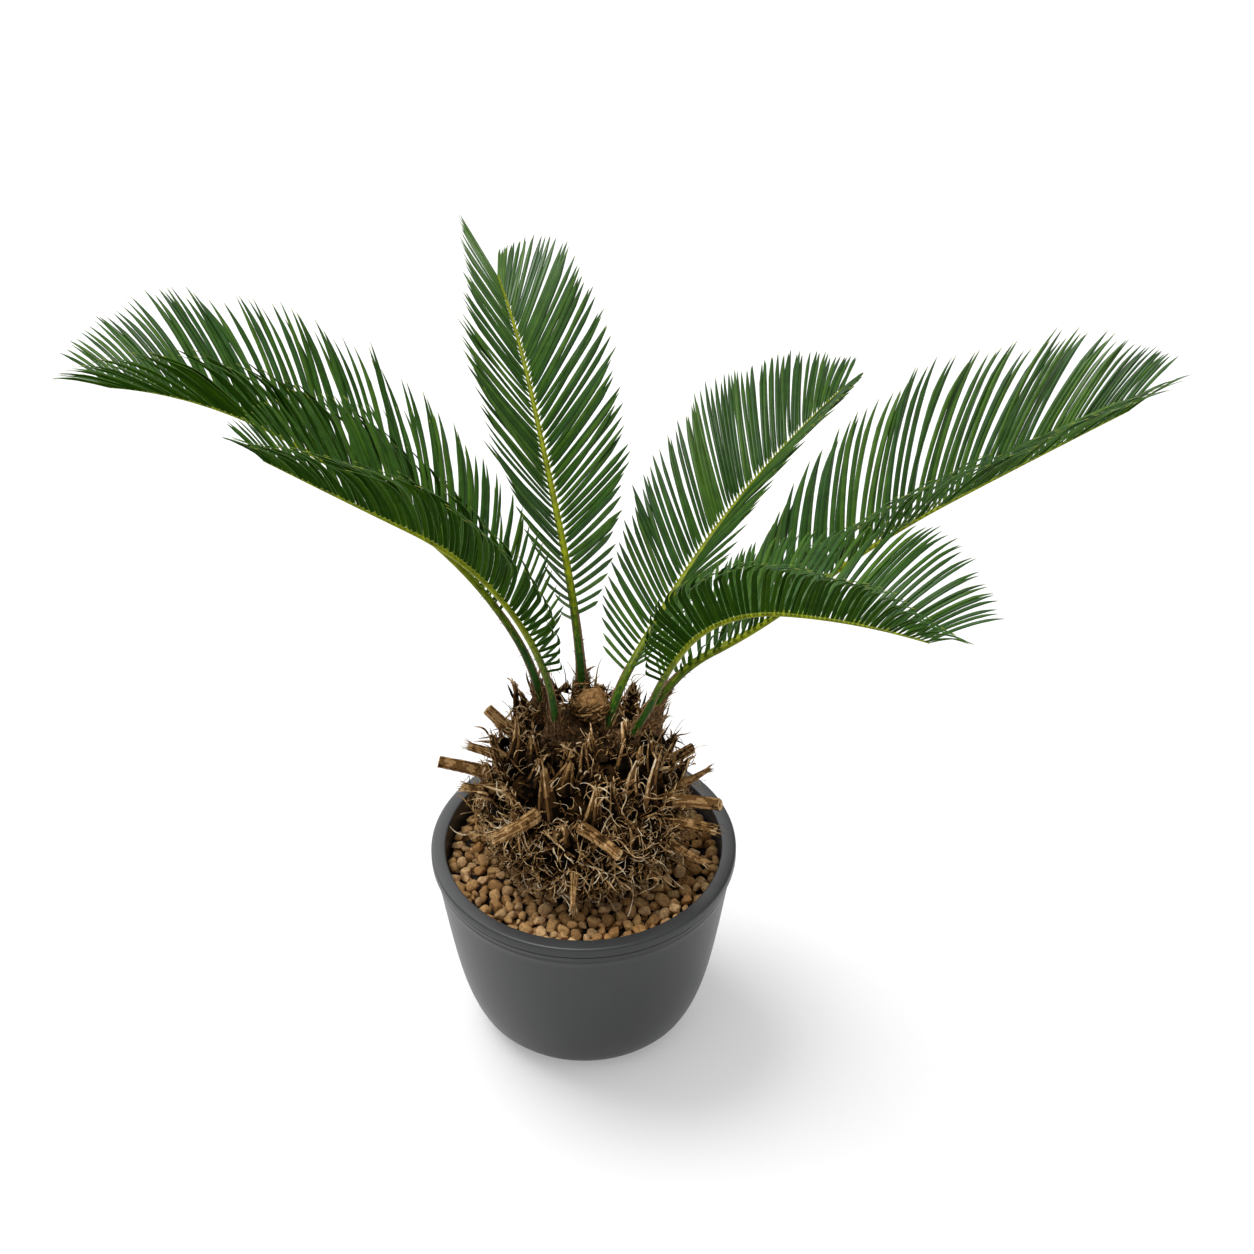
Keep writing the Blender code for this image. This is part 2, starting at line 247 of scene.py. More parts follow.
def rim_arc(edge, side=POT_RIM_RADIUS):
    inset, depth, radius, start, stop, count = edge
    a = np.radians(np.linspace(start, stop, count))
    return [(side - mm(inset) + mm(radius) * math.cos(x),
             POT_HEIGHT - mm(depth) + mm(radius) * math.sin(x)) for x in a]


def rim_points(pairs):
    return [(POT_RIM_RADIUS - mm(inset), POT_HEIGHT - mm(depth)) for inset, depth in pairs]


def pot_outline():
    """Up the inside from the floor, over the rim and down the outer side to the foot."""
    inside = [(pot_side(z) - POT_WALL, z) for z in np.linspace(POT_FLOOR, POT_INSIDE_TOP, 8)]
    outside = [(pot_side(z), z) for z in np.linspace(*POT_SIDE_SPAN, 26)]
    return [(0.0, POT_FLOOR), *inside, (POT_MOUTH_RADIUS, BED_TOP_Z),
            *rim_arc(MOUTH_EDGE, POT_MOUTH_RADIUS), *rim_arc(RIM_TOP_EDGE),
            *rim_arc(RIM_LOW_EDGE), *rim_points(UPPER_GROOVE), *rim_arc(BAND_EDGE),
            *rim_points(LOWER_GROOVE), *outside, *FOOT_EDGE, (POT_BASE_RADIUS, 0.0), (0.0, 0.0)]


def revolve(pile, outline, steps):
    """Closed solid of revolution about Z from (radius, height) points, ends on the axis."""
    outline = np.array(outline)
    inner = outline[1:-1]
    rings = inner[:, :1, None] * level(turns(steps)) + inner[:, 1:, None] * UP
    poles = outline[[0, -1], 1:] * UP
    here = np.arange(steps)
    there = (here + 1) % steps
    count = len(inner) * steps
    start = np.stack([np.full(steps, count), here, there], -1)
    stop = np.stack([np.full(steps, count + 1), there, here], -1)
    stop[:, 1:] += count - steps
    pile.add(np.vstack([rings.reshape(-1, 3), poles]),
             (ring_faces(len(inner), steps, flip=True)[0], 0), (start, 0), (stop, 0))


def make_pot():
    pile = Pile()
    revolve(pile, pot_outline(), POT_STEPS)
    glaze = node_material("pot_glaze", (0.032, 0.033, 0.034), 0.40, (0.028, 0.029, 0.030),
                          scale=24, bump=0.05, bump_scale=900, specular=0.30, coat=0.10,
                          roughness_span=0.03)
    pile.build("pot_shell", [glaze], "pot_grey", "pot", sharp=POT_SHARP)


# Pebbles

PEBBLE_TINTS = {
    "pebble_tan": (0.64, 0.375, 0.155), "pebble_brown": (0.48, 0.265, 0.102),
    "pebble_pale": (0.80, 0.510, 0.250), "pebble_grey": (0.56, 0.350, 0.165),
    "pebble_rust": (0.56, 0.300, 0.108)}
PEBBLE_TINT_SHARES = (0.34, 0.24, 0.17, 0.13, 0.12)
PEBBLE_KINDS = 14
PEBBLE_SIZES = (0.0042, 0.0084)     # smallest and largest half length
PEBBLE_FLATS = (8, 14)              # fewest, and one more than the most
PEBBLE_FLAT_DEPTH = (0.52, 0.82)    # from the centre, as shares of the radius
PEBBLE_WEAR = 0.85                  # share of what stands over a flat that is worn away
PEBBLE_WAVES = (1.5, 3.0)
PEBBLE_SWELL = 0.035
PEBBLE_INNER_RADIUS = 0.046
PEBBLE_GAP = 0.0006                 # to the pot's mouth
PEBBLE_SINK = 0.45                  # share of its size by which a stone lies lower
# Piece, height, count, rounds of subdivision, seed
PEBBLE_LAYERS = (("pebbles_upper", 0.1752, 375, 3, 5), ("pebbles_lower", 0.1660, 260, 2, 6))
PEBBLE_NEAREST = 0.94               # share of two radii that may not be overlapped
PEBBLE_PUSH = 0.45
PEBBLE_ROUNDS = 90
SOIL_OUTLINE = ((0, 0.165), (0.06, 0.165), (0.1262, 0.163), (0.1262, 0.150), (0, 0.150))


def pebble_shape(rng, finish):
    """A rounded stone with a few worn flats, about 1 in radius."""
    shape = bmesh.new()
    bmesh.ops.create_icosphere(shape, subdivisions=finish, radius=1.0)
    points = np.array([v.co for v in shape.verts])
    faces = np.array([[v.index for v in f.verts] for f in shape.faces])
    shape.free()
    for _ in range(rng.integers(*PEBBLE_FLATS)):
        flat = unit(rng.normal(size=3))
        over = points @ flat - rng.uniform(*PEBBLE_FLAT_DEPTH)
        points -= np.where(over > 0, over * PEBBLE_WEAR, 0)[:, None] * flat
    waves = unit(rng.normal(size=(3, 3))) * rng.uniform(*PEBBLE_WAVES, size=(3, 1))
    swell = sum(np.sin(points @ wave + rng.uniform(0, 6)) for wave in waves)
    return points * (1 + PEBBLE_SWELL * swell[:, None]), faces


def spread_discs(rng, radii, inner, outer):
    """Places for discs in a ring-shaped bed, pushed apart until few overlap."""
    turn = rng.uniform(0, 2 * math.pi, len(radii))
    out = np.sqrt(rng.uniform(inner ** 2, outer ** 2, len(radii)))
    places = (level(turn) * out[:, None])[:, :2]
    for _ in range(PEBBLE_ROUNDS):
        apart = places[:, None] - places[None]
        gap = np.linalg.norm(apart, axis=-1) + 1e-9
        push = np.maximum(PEBBLE_NEAREST * (radii[:, None] + radii[None]) - gap, 0)
        np.fill_diagonal(push, 0)
        places += PEBBLE_PUSH * (apart / gap[..., None] * push[..., None]).sum(1)
        out = np.linalg.norm(places, axis=1)
        places *= (np.clip(out, inner, outer - radii) / out)[:, None]
    return places


def lay_pebble(pile, rng, kinds, place_xy, radius, height):
    points, faces = kinds[rng.integers(len(kinds))]
    rng.normal(size=(3, 3))     # a spare draw that keeps the later ones in their order
    size = radius * np.array([1.16, rng.uniform(0.72, 1.0), rng.uniform(0.66, 0.90)])
    tilt, _ = np.linalg.qr(rng.normal(size=(3, 3)) * 0.5 + np.eye(3) * 1.2)
    spin = rng.uniform(0, 2 * math.pi)
    round_z = np.stack([level(spin), level(spin + math.pi / 2), UP])
    z = height - radius * PEBBLE_SINK + rng.normal() * mm(1.3)
    points = (points * size) @ tilt @ round_z + (*place_xy, z)
    pile.add(points, (faces, rng.choice(len(PEBBLE_TINTS), p=PEBBLE_TINT_SHARES)))


def make_pebbles():
    stones = [node_material(name, color, 0.82, shaded(color, 0.55), scale=420, bump=0.5,
                            bump_scale=1500, bump_size=0.0006, specular=0.08)
              for name, color in PEBBLE_TINTS.items()]
    for name, height, count, finish, seed in PEBBLE_LAYERS:
        rng = np.random.default_rng(seed)
        kinds = [pebble_shape(rng, finish) for _ in range(PEBBLE_KINDS)]
        radii = rng.uniform(*PEBBLE_SIZES, count) * rng.uniform(0.85, 1.0, count)
        places = spread_discs(rng, radii, PEBBLE_INNER_RADIUS, POT_MOUTH_RADIUS - PEBBLE_GAP)
        pile = Pile()
        for place_xy, radius in zip(places, radii):
            lay_pebble(pile, rng, kinds, place_xy, radius, height)
        pile.build(name, stones, "pebble_tan", "pebble_bed")
    soil = Pile()
    revolve(soil, SOIL_OUTLINE, 96)
    # Near-black: the soil's own dark brown deepened into painted shade for the gaps between the
    # pebbles.
    soil_and_gap_shade = node_material("soil", (0.010, 0.006, 0.003), 0.95, (0.005, 0.003, 0.0015),
                         scale=300, bump=0.8, bump_scale=500, bump_size=0.002)
    soil.build("soil", [soil_and_gap_shade], "pebble_tan", "pebble_bed", sharp=40)


# Strands, which make the fibres of the trunk

# bark_shadow_black is painted shade: the core's hollows and the darkest strand roots take it,
# and no strand has it as its own tone.
BARK = {"bark_shadow_black": (0.005, 0.0026, 0.0012), "bark_dark": (0.042, 0.020, 0.0065),
        "bark_brown": (0.180, 0.092, 0.031), "bark_tan": (0.47, 0.280, 0.115),
        "bark_pale": (0.80, 0.560, 0.300), "bark_straw": (0.96, 0.80, 0.56)}
STRAND_RING = np.array([(1.0, 0), (0, 1), (-1, 0), (0, -1)])
THINNEST = 0.00028
SPLINTER_CURL = 0.10
SPLINTER_TAPER = 0.85       # share of the width lost by the tip
SPLINTER_FLATNESS = 0.55


def bark_materials():
    return [node_material(name, color, 0.85, shaded(color, 0.6), scale=700, bump=0.5,
                          bump_scale=2200, specular=0.04) for name, color in BARK.items()]


def shade_choice(rng, count, weights):
    """Slots for strands, in the order of BARK, drawn by their weights."""
    weights = np.array(weights, float)
    return rng.choice(len(weights), count, p=weights / weights.sum())


def darker_roots(rng, slots, points, drop):
    """Slots along each strand: its own tone at the tip, up to drop steps darker below, painted
    shade deep among the leaf bases.
    """
    tips = slots[:, None].astype(float)
    below = 1 - np.linspace(0, 1, points - 1)
    shades = tips - drop * below + rng.normal(size=(len(slots), points - 1)) * 0.25
    shades = np.clip(shades, 0 if drop else tips, tips)
    return np.rint(shades).astype(int)[:, :, None]


def splinters(pile, starts, ends, rng, radius, points, slots):
    """Tapered fibres from starts to ends (k, 3), each a little curled."""
    k = len(starts)
    x = np.linspace(0, 1, points)[None, :, None]
    paths = starts[:, None] * (1 - x) + ends[:, None] * x
    length = np.linalg.norm(ends - starts, axis=1)[:, None, None]
    first, second = rng.normal(size=(2, k, 1, 3))
    swing = np.sin(x * rng.uniform(2, 6, (k, 1, 1)) + rng.uniform(0, 6, (k, 1, 1)))
    paths = paths + length * SPLINTER_CURL * (first * x ** 2 + 0.35 * second * swing * x)
    wide = np.broadcast_to(radius, k)[:, None] * (1 - SPLINTER_TAPER * x[..., 0] ** 1.4)
    sides = np.broadcast_to(rng.normal(size=(k, 1, 3)), paths.shape)
    sweep(pile, paths, sides, wide, wide * SPLINTER_FLATNESS, STRAND_RING,
          darker_roots(rng, slots, points, 0))


def ribbons(pile, roots, aims, towards, rng, length, half, turn, slots, points=9, flat=0.3,
            root_share=0.7, drop=1.2, wobble=0.35):
    """Flat tapering strips that leave their roots along aims and curl round towards.

    Their half width is half, of which root_share is left at the root; turn is in radians.
    """
    k = len(roots)
    x = np.linspace(0, 1, points)[None]
    away = unit(towards - (towards * aims).sum(-1, keepdims=True) * aims)
    across = np.cross(aims, away)
    swing = wobble * np.sin(x * rng.uniform(3, 8, (k, 1)) + rng.uniform(0, 6, (k, 1)))
    bend = turn[:, None] * x ** 1.4 + swing
    yaw = rng.normal(size=(k, 1)) * wobble * x * 2
    heading = (aims[:, None] * np.cos(bend)[..., None]
               + away[:, None] * (np.sin(bend) * np.cos(yaw))[..., None]
               + across[:, None] * (np.sin(yaw) * 0.8)[..., None])
    step = length[:, None, None] / (points - 1)
    paths = roots[:, None] + np.cumsum(heading * step, axis=1) - heading[:, :1] * step
    width = root_share + (1 - root_share) * np.sin(np.minimum(x / 0.35, 1) * math.pi / 2)
    wide = half[:, None] * width * (1 - 0.93 * x ** 2.2)
    spin = rng.normal(size=(k, 1, 1)) * 0.6 + rng.normal(size=(k, 1, 1)) * x[..., None] * 1.2
    sides = across[:, None] * np.cos(spin) + away[:, None] * np.sin(spin)
    sweep(pile, paths, sides, wide, np.maximum(wide * flat, THINNEST), STRAND_RING,
          darker_roots(rng, slots, points, drop))


# Trunk

# (radius, height) of the envelope that the old leaf bases reach, tip to ground
TRUNK_PROFILE = ((0.0, 0.360), (0.035, 0.358), (0.050, 0.345), (0.067, 0.325), (0.083, 0.300),
                 (0.094, 0.275), (0.100, 0.250), (0.100, 0.225), (0.088, 0.200),
                 (0.062, BED_TOP_Z))
SLOPE_SPAN = 0.006
CORE_DEPTH = 0.018          # the solid wood lies this far inside the envelope
CORE_COLUMNS, CORE_ROWS = 200, 110
CORE_TOP = (0.356, 0.350)   # of its grid, and where its lumps are cut off
CORE_SINK = 0.006           # how far it reaches down into the bed
# Waves, shortest and longest in metres, and height in mm
CORE_LUMPS = ((14, 0.012, 0.030, 3.2), (14, 0.004, 0.009, 1.4))
# Share of the core, lowest lumps first, painted near-black as shade; the higher lumps are
# bark_dark, a painted lighter tone.
CORE_DARK_SHARE = 0.80
# Husks, ring by ring: height, count, depth in the envelope, length and width in mm, splay
HUSK_RINGS = ((0.344, 10, 5, 20, 18, 14), (0.334, 12, 6, 30, 22, 16),
              (0.316, 13, 9, 40, 25, 17), (0.292, 14, 14, 48, 27, 18),
              (0.268, 14, 16, 42, 27, 26))
HUSK_COLUMNS, HUSK_ROWS = 13, 11
HUSK_THICKNESS = 0.0010
HUSK_TONE = 1.9             # mean slot of a husk's strips, before its roots are darkened
HUSK_BEHIND = 0.5           # length of the top ones at the back, which stay below the stalks
TORN_BASES = 184
TORN_SPAN = (0.296, 0.112)  # height of the highest, and how much lower the others go
TORN_LENGTH = (15, 27)
TORN_RADIUS = (2.6, 5.6)
GOLDEN_ANGLE = 137.508
# Loose strands: count, shortest and longest, least and most half width in mm, most bend
STRAND_SETS = ((300, 18, 42, 0.5, 1.05, 3.4), (300, 8, 20, 0.4, 0.8, 3.6))
# Dark pointed scale leaves that stand out against the light: azimuth and height of the
# root, heading and tilt, length in mm
SPIKES = ((150, 0.345, 152, 62, 42), (143, 0.342, 120, 70, 40), (76, 0.349, 60, 78, 34),
          (40, 0.346, 30, 66, 32), (24, 0.344, 14, 72, 30), (14, 0.336, 6, 60, 34),
          (4, 0.330, 8, 52, 28), (-6, 0.322, 10, 58, 30), (168, 0.336, 176, 56, 34),
          (178, 0.330, 168, 46, 30), (196, 0.318, 186, 52, 28), (-14, 0.300, 4, 44, 32),
          (186, 0.306, 178, 40, 26), (-2, 0.306, -8, 60, 26), (110, 0.350, 104, 74, 30),
          (210, 0.296, 190, 38, 24), (-22, 0.290, -6, 40, 26))
MORE_SPIKES = 60


def trunk_surface(azimuth, z, depth=0.0):
    """Point on the trunk's envelope with its outward, upward and sideways directions."""
    turn, z = np.radians(azimuth), np.asarray(z, float)
    radii, heights = np.array(TRUNK_PROFILE[::-1]).T
    radius = np.interp(z, heights, radii)
    slope = (np.interp(z + SLOPE_SPAN, heights, radii)
             - np.interp(z - SLOPE_SPAN, heights, radii)) / (2 * SLOPE_SPAN)
    outward = level(turn)
    side = level(turn + math.pi / 2)
    rise = unit(outward * slope[..., None] + UP)
    normal = np.cross(side, rise)
    point = outward * radius[..., None] + UP * z[..., None]
    return point - normal * np.asarray(depth)[..., None], normal, rise, side


def bumps(points, rng, count, low, high):
    """Sum of plane waves with wavelengths between low and high metres, about -1 to 1."""
    total = 0
    for _ in range(count):
        wave = unit(rng.normal(size=3)) * 2 * math.pi / rng.uniform(low, high)
        total = total + np.sin(points @ wave + rng.uniform(0, 2 * math.pi))
    return total / math.sqrt(count)


def make_trunk_core(materials):
    rng = np.random.default_rng(11)
    heights = np.linspace(CORE_TOP[0], BED_TOP_Z + mm(1), CORE_ROWS)
    azimuths = np.arange(CORE_COLUMNS) * 360 / CORE_COLUMNS
    z, azimuth = np.meshgrid(heights, azimuths, indexing="ij")
    points, normal, _, _ = trunk_surface(azimuth, z, CORE_DEPTH)
    rough = sum(bumps(points, rng, count, low, high) * mm(tall)
                for count, low, high, tall in CORE_LUMPS)
    # The solid wood is painted near-black, shade in the voids between the leaf bases, and a
    # little lighter, bark_dark, on its highest lumps.
    high = rough > np.quantile(rough, CORE_DARK_SHARE)
    points = points + normal * rough[..., None]
    points[..., 2] = np.clip(points[..., 2], BED_TOP_Z - CORE_SINK, CORE_TOP[1])
    pile = Pile()
    loft(pile, points[None], high[None, :-1].astype(int), ends=(1, 1), flip=True)
    pile.build("trunk_core", materials, "trunk_brown", "trunk")


def husk(pile, rng, azimuth, z, depth, length, width, splay):
    """A leaf base: a tent-like sheet with a few lengthwise ridges and a frayed tip."""
    root, normal, rise, side = trunk_surface(azimuth, z, depth)
    lean = math.radians(splay)
    aim = unit(rise * math.cos(lean) + normal * math.sin(lean) + side * rng.normal() * 0.20)
    face = unit(normal - (normal @ aim) * aim)
    across = np.cross(aim, face)
    columns, rows = HUSK_COLUMNS, HUSK_ROWS
    u = np.linspace(-1, 1, columns)[None]
    v = np.linspace(0, 1, rows)[:, None] * np.ones((1, columns))
    v = v * (1 - rng.uniform(0, 0.22, (1, columns)) * np.abs(u) ** 0.5 * v)
    half = width / 2 * (1 - 0.86 * v ** rng.uniform(0.7, 1.1))
    ridges = np.cos(u * math.pi * rng.uniform(1.6, 2.6) + rng.normal() * 0.5)
    arch = mm(rng.uniform(5, 9)) * (1 - np.abs(u) ** rng.uniform(1.2, 2.0)) * (1 - 0.6 * v)
    roll = mm(rng.uniform(-1, 4)) * np.abs(u) ** 3 * v
    flare = length * rng.uniform(-0.02, 0.26) * v ** 2.4
    sway = length * rng.normal() * 0.12 * v ** 2
    out = arch + roll + flare + ridges * mm(1.3) * (1 - 0.3 * v)
    out = out + rng.normal(size=v.shape) * mm(0.18)
    off = u * half + sway
    top = root + (length * v)[..., None] * aim + off[..., None] * across + out[..., None] * face
    rings = np.concatenate([top[:, ::-1], top - face * HUSK_THICKNESS], 1)
    # Painted light and shade: the tone rises on the ridges and falls in the valleys between
    # them, is a little lighter towards the edges, and painted_root_shade darkens it towards the
    # root, painted shade deep among the leaf bases.
    tone = HUSK_TONE + 0.7 * ridges + np.abs(u) ** 4 + rng.normal(size=columns) * 0.45
    tone = tone + rng.normal() * 0.4
    painted_root_shade = np.linspace(2.0, -0.5, rows - 1)[:, None]
    tones = np.rint(tone - painted_root_shade + rng.normal(size=(rows - 1, columns)) * 0.25).clip(0, 5)
    # The sheet's underside, which faces the trunk, is bark_dark: painted shade.
    slots = np.concatenate([np.roll(tones[:, ::-1], -1, 1), np.ones((rows - 1, columns))], 1)
    loft(pile, rings[None], slots.astype(int), flip=True)
    count = int(rng.integers(5, 10))
    pick = rng.integers(0, columns, count)
    roots = top[rng.integers(rows // 2, rows, count), pick]
    aims = unit(aim + face * rng.uniform(-0.1, 0.5, (count, 1))
                + across * rng.normal(size=(count, 1)) * 0.35)
    towards = face * rng.choice((-0.4, 1, 1), (count, 1)) + across * rng.normal(size=(count, 1))
    ribbons(pile, roots - aims * mm(2), aims, towards, rng,
            mm(rng.uniform(9, 26, count)) * min(1.0, length / mm(34)),
            mm(rng.uniform(0.7, 1.6, count)), rng.uniform(0.3, 2.6, count),
            shade_choice(rng, count, (0, 0.4, 2, 4, 4, 1.5)))


def make_husks(materials):
    rng = np.random.default_rng(21)
    pile = Pile()
    for number, (z, count, depth, length, width, splay) in enumerate(HUSK_RINGS):
        for i in range(count):
            azimuth = (i + 0.5 * (number % 2)) * 360 / count + rng.normal() * 6
            behind = z > 0.32 and math.sin(math.radians(azimuth)) > 0.3
            husk(pile, rng, azimuth, z + rng.normal() * 0.004, mm(depth),
                 mm(length * (HUSK_BEHIND if behind else 1.0) * rng.uniform(0.7, 1.15)),
                 mm(width * rng.uniform(0.75, 1.1)), splay + rng.normal() * 8)
    pile.build("leaf_bases_upper", materials, "trunk_brown")


def torn_base(pile, rng, azimuth, z, length, radius, splay):
    """A broken leaf base: strips torn from a tube that curl away all round like a star."""
    root, normal, rise, side = trunk_surface(azimuth, z, CORE_DEPTH)
    lean = math.radians(splay)
    aim = unit(rise * math.cos(lean) + normal * math.sin(lean) + side * rng.normal() * 0.35)
    first = unit(np.cross(aim, UP) + rng.normal(size=3) * 0.25)
    second = np.cross(aim, first)
    count = int(rng.integers(7, 12))
    turn = (np.arange(count) + rng.uniform(-0.3, 0.3, count)) / count * 2 * math.pi
    spoke = spokes(turn, first, second * rng.uniform(0.5, 0.9))
    aims = unit(aim + spoke * rng.uniform(0.15, 0.6, (count, 1)))
    half = math.pi * radius / count * rng.uniform(0.55, 1.1, count)
    ribbons(pile, root + spoke * radius, aims, spoke, rng,
            length * rng.uniform(0.65, 1.35, count), half, rng.uniform(0.2, 3.0, count),
            shade_choice(rng, count, (0, 0.8, 2.6, 4, 3.6, 1.4)), points=11, flat=0.35,
            root_share=1.0, drop=2.9, wobble=0.5)
    inner = int(rng.integers(3, 7))
    aims = unit(aim + rng.normal(size=(inner, 3)) * 0.5)
    ribbons(pile, np.repeat(root[None], inner, 0), aims, rng.normal(size=(inner, 3)), rng,
            length * rng.uniform(0.9, 1.7, inner), mm(rng.uniform(0.5, 1.1, inner)),
            rng.uniform(0.8, 3.8, inner), shade_choice(rng, inner, (0, 0, 1.5, 4, 4, 3)),
            points=12, wobble=0.5)


def make_torn_bases(materials):
    rng = np.random.default_rng(33)
    piles = {"leaf_bases_middle": Pile(), "leaf_bases_lower": Pile()}
    for i in range(TORN_BASES):
        share = (i + 0.5) / TORN_BASES
        z = TORN_SPAN[0] - TORN_SPAN[1] * share ** 0.95
        azimuth = i * GOLDEN_ANGLE + rng.normal() * 6
        splay = 42 + 56 * share + rng.normal() * 17
        pile = piles["leaf_bases_middle" if share < 0.5 else "leaf_bases_lower"]
        torn_base(pile, rng, azimuth, z, mm(rng.uniform(*TORN_LENGTH)),
                  mm(rng.uniform(*TORN_RADIUS)), splay)
    for name, pile in piles.items():
        pile.build(name, materials, "trunk_brown")


def make_strands(materials):
    """Loose curling strands that lie over the trunk and stand off it."""
    rng = np.random.default_rng(47)
    pile = Pile()
    for count, low, high, slim, thick, bend in STRAND_SETS:
        z = 0.184 + 0.162 * rng.random(count)
        azimuth = rng.uniform(0, 360, count)
        root, normal, rise, side = trunk_surface(azimuth, z, rng.uniform(-0.002, 0.010, count))
        turn = rng.normal(size=(count, 1)) * 1.3
        aim = unit(rise * np.cos(turn) + side * np.sin(turn)
                   + normal * (rng.normal(size=(count, 1)) * 0.25 - 0.02))
        towards = rise * rng.normal(size=(count, 1)) + side * rng.normal(size=(count, 1))
        ribbons(pile, root, aim, towards - normal * 0.3, rng, mm(rng.uniform(low, high, count)),
                mm(rng.uniform(slim, thick, count)), rng.uniform(0.2, bend, count),
                shade_choice(rng, count, (0, 0.5, 2, 4, 5, 3)), points=12, flat=0.55,
                drop=0.8, wobble=0.6)
    pile.build("trunk_strands", materials, "trunk_brown")


def make_spikes(materials):
    rng = np.random.default_rng(58)
    more = np.stack([rng.uniform(0, 360, MORE_SPIKES), 0.340 - 0.080 * rng.random(MORE_SPIKES),
                     np.zeros(MORE_SPIKES), rng.uniform(30, 75, MORE_SPIKES),
                     rng.uniform(14, 30, MORE_SPIKES)], 1)
    more[:, 2] = more[:, 0] + rng.normal(size=MORE_SPIKES) * 25
    azimuth, z, heading, tilt, length = np.vstack([SPIKES, more]).T
    root, normal, _, _ = trunk_surface(azimuth, z, 0.006)
    count = len(root)
    pile = Pile()
    ribbons(pile, root, pointing(heading, tilt), normal * 0.5 + rng.normal(size=(count, 3)),
            rng, mm(length), mm(rng.uniform(1.1, 2.1, count)), rng.uniform(0.0, 0.5, count),
            shade_choice(rng, count, (0, 3, 5, 2, 0.4, 0)), points=9, flat=0.55, drop=0.5,
            wobble=0.10)
    pile.build("crown_spikes", materials, "trunk_brown")


# Crown

DOME_COLUMNS, DOME_ROWS = 72, 22
DOME_RADIUS = 0.0152
DOME_HEIGHT = 0.0175
DOME_TIP = 0.0065           # height of the tip over the dome, and how far aside it leans
DOME_SINK = 0.004
FELT_RADIUS = 0.043
FELT_TOP = 0.350
FELT_FALL = 0.022           # from the middle to the edge
FELT_POWER = 2.4
DOME_TUFTS, FELT_TUFTS = 210, 330
FELT_TUFT_BEHIND = 0.42     # length of those at the back, which stay below the stalks


def make_bud(materials):
    """The woolly dome in the middle of the crown and the felt between the stalks."""
    low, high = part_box("crown_bud")
    centre = np.array(((low.x + high.x) / 2, (low.y + high.y) / 2, low.z))
    rng = np.random.default_rng(64)
    wool = node_material("bud_wool", (0.320, 0.175, 0.066), 0.95, (0.110, 0.052, 0.017),
                         scale=300, bump=0.5, bump_scale=900, bump_size=0.0008, specular=0.1)
    felt = node_material("crown_felt", (0.066, 0.034, 0.013), 0.95, (0.008, 0.004, 0.0015),
                         scale=260, bump=0.9, bump_scale=700, bump_size=0.0015, specular=0.1)
    make_dome(centre, wool)
    v = np.linspace(0.04, 1, 16)[:, None, None]
    points = level(turns(96)) * FELT_RADIUS * v + UP * (FELT_TOP - FELT_FALL * v ** FELT_POWER)
    points = points + bumps(points, rng, 10, 0.010, 0.022)[..., None] * UP * mm(2.2)
    mound = Pile()
    loft(mound, points[None, ::-1], 0)
    mound.build("crown_felt", [felt], "wool_tan")
    make_tufts(centre, materials, rng)


def make_dome(centre, wool):
    turn = turns(DOME_COLUMNS)
    v = np.linspace(0.02, 1, DOME_ROWS)[:, None]
    swirl = turn + (1 - v) * 2.4
    lumps = (1 + 0.15 * np.sin(4 * swirl + 1) + 0.06 * np.sin(9 * swirl)
             + 0.03 * np.sin(7 * turn + 9 * v))
    radius = DOME_RADIUS * np.sin(v * math.pi / 2) ** 0.8 * (lumps * v + 1 - v)
    height = DOME_HEIGHT * (1 - v ** 2.2) + DOME_TIP * np.exp(-(v / 0.15) ** 2) - DOME_SINK
    dome = level(turn) * radius[..., None] + UP * height[..., None] + centre
    dome[..., 0] += DOME_TIP * (1 - v) ** 2
    pile = Pile()
    loft(pile, dome[None, ::-1], 0)
    pile.build("crown_wool", [wool], "wool_tan", "crown_bud")


def make_tufts(centre, materials, rng):
    """Fibres wound round the dome, and others that stand all over the felt."""
    tufts = Pile()
    count = DOME_TUFTS
    around = rng.uniform(0, 2 * math.pi, count)
    out = rng.uniform(0.013, 0.022, (count, 1))
    height = rng.uniform(-0.008, 0.008, (count, 1))
    spoke = level(around)
    aims = unit(level(around + math.pi / 2) + UP * rng.uniform(-0.2, 1.0, (count, 1)))
    ribbons(tufts, centre + spoke * out + UP * height, aims, -spoke, rng,
            mm(rng.uniform(10, 20, count)), mm(rng.uniform(0.5, 1.1, count)),
            rng.uniform(0.6, 1.6, count), shade_choice(rng, count, (0, 1.6, 4.5, 3.5, 1, 0)),
            flat=0.6, drop=0.9)
    count = FELT_TUFTS
    spoke = level(rng.uniform(0, 2 * math.pi, count))
    out = rng.uniform(0.018, 0.050, (count, 1))
    z = FELT_TOP - mm(1) - FELT_FALL * (out / FELT_RADIUS) ** FELT_POWER
    aims = unit(spoke + (0, -0.1, 0.1) + rng.normal(size=(count, 3)) * 0.5)
    behind = np.where(spoke[:, 1] > 0.1, FELT_TUFT_BEHIND, 1.0)
    ribbons(tufts, spoke * out + UP * z, aims, rng.normal(size=(count, 3)), rng,
            mm(rng.uniform(7, 19, count)) * behind, mm(rng.uniform(0.7, 1.7, count)),
            rng.uniform(0.2, 2.2, count), shade_choice(rng, count, (0, 2, 4, 4, 2.4, 0.6)),
            flat=0.45, drop=1.4)
    tufts.build("crown_wool_fibres", materials, "wool_tan")


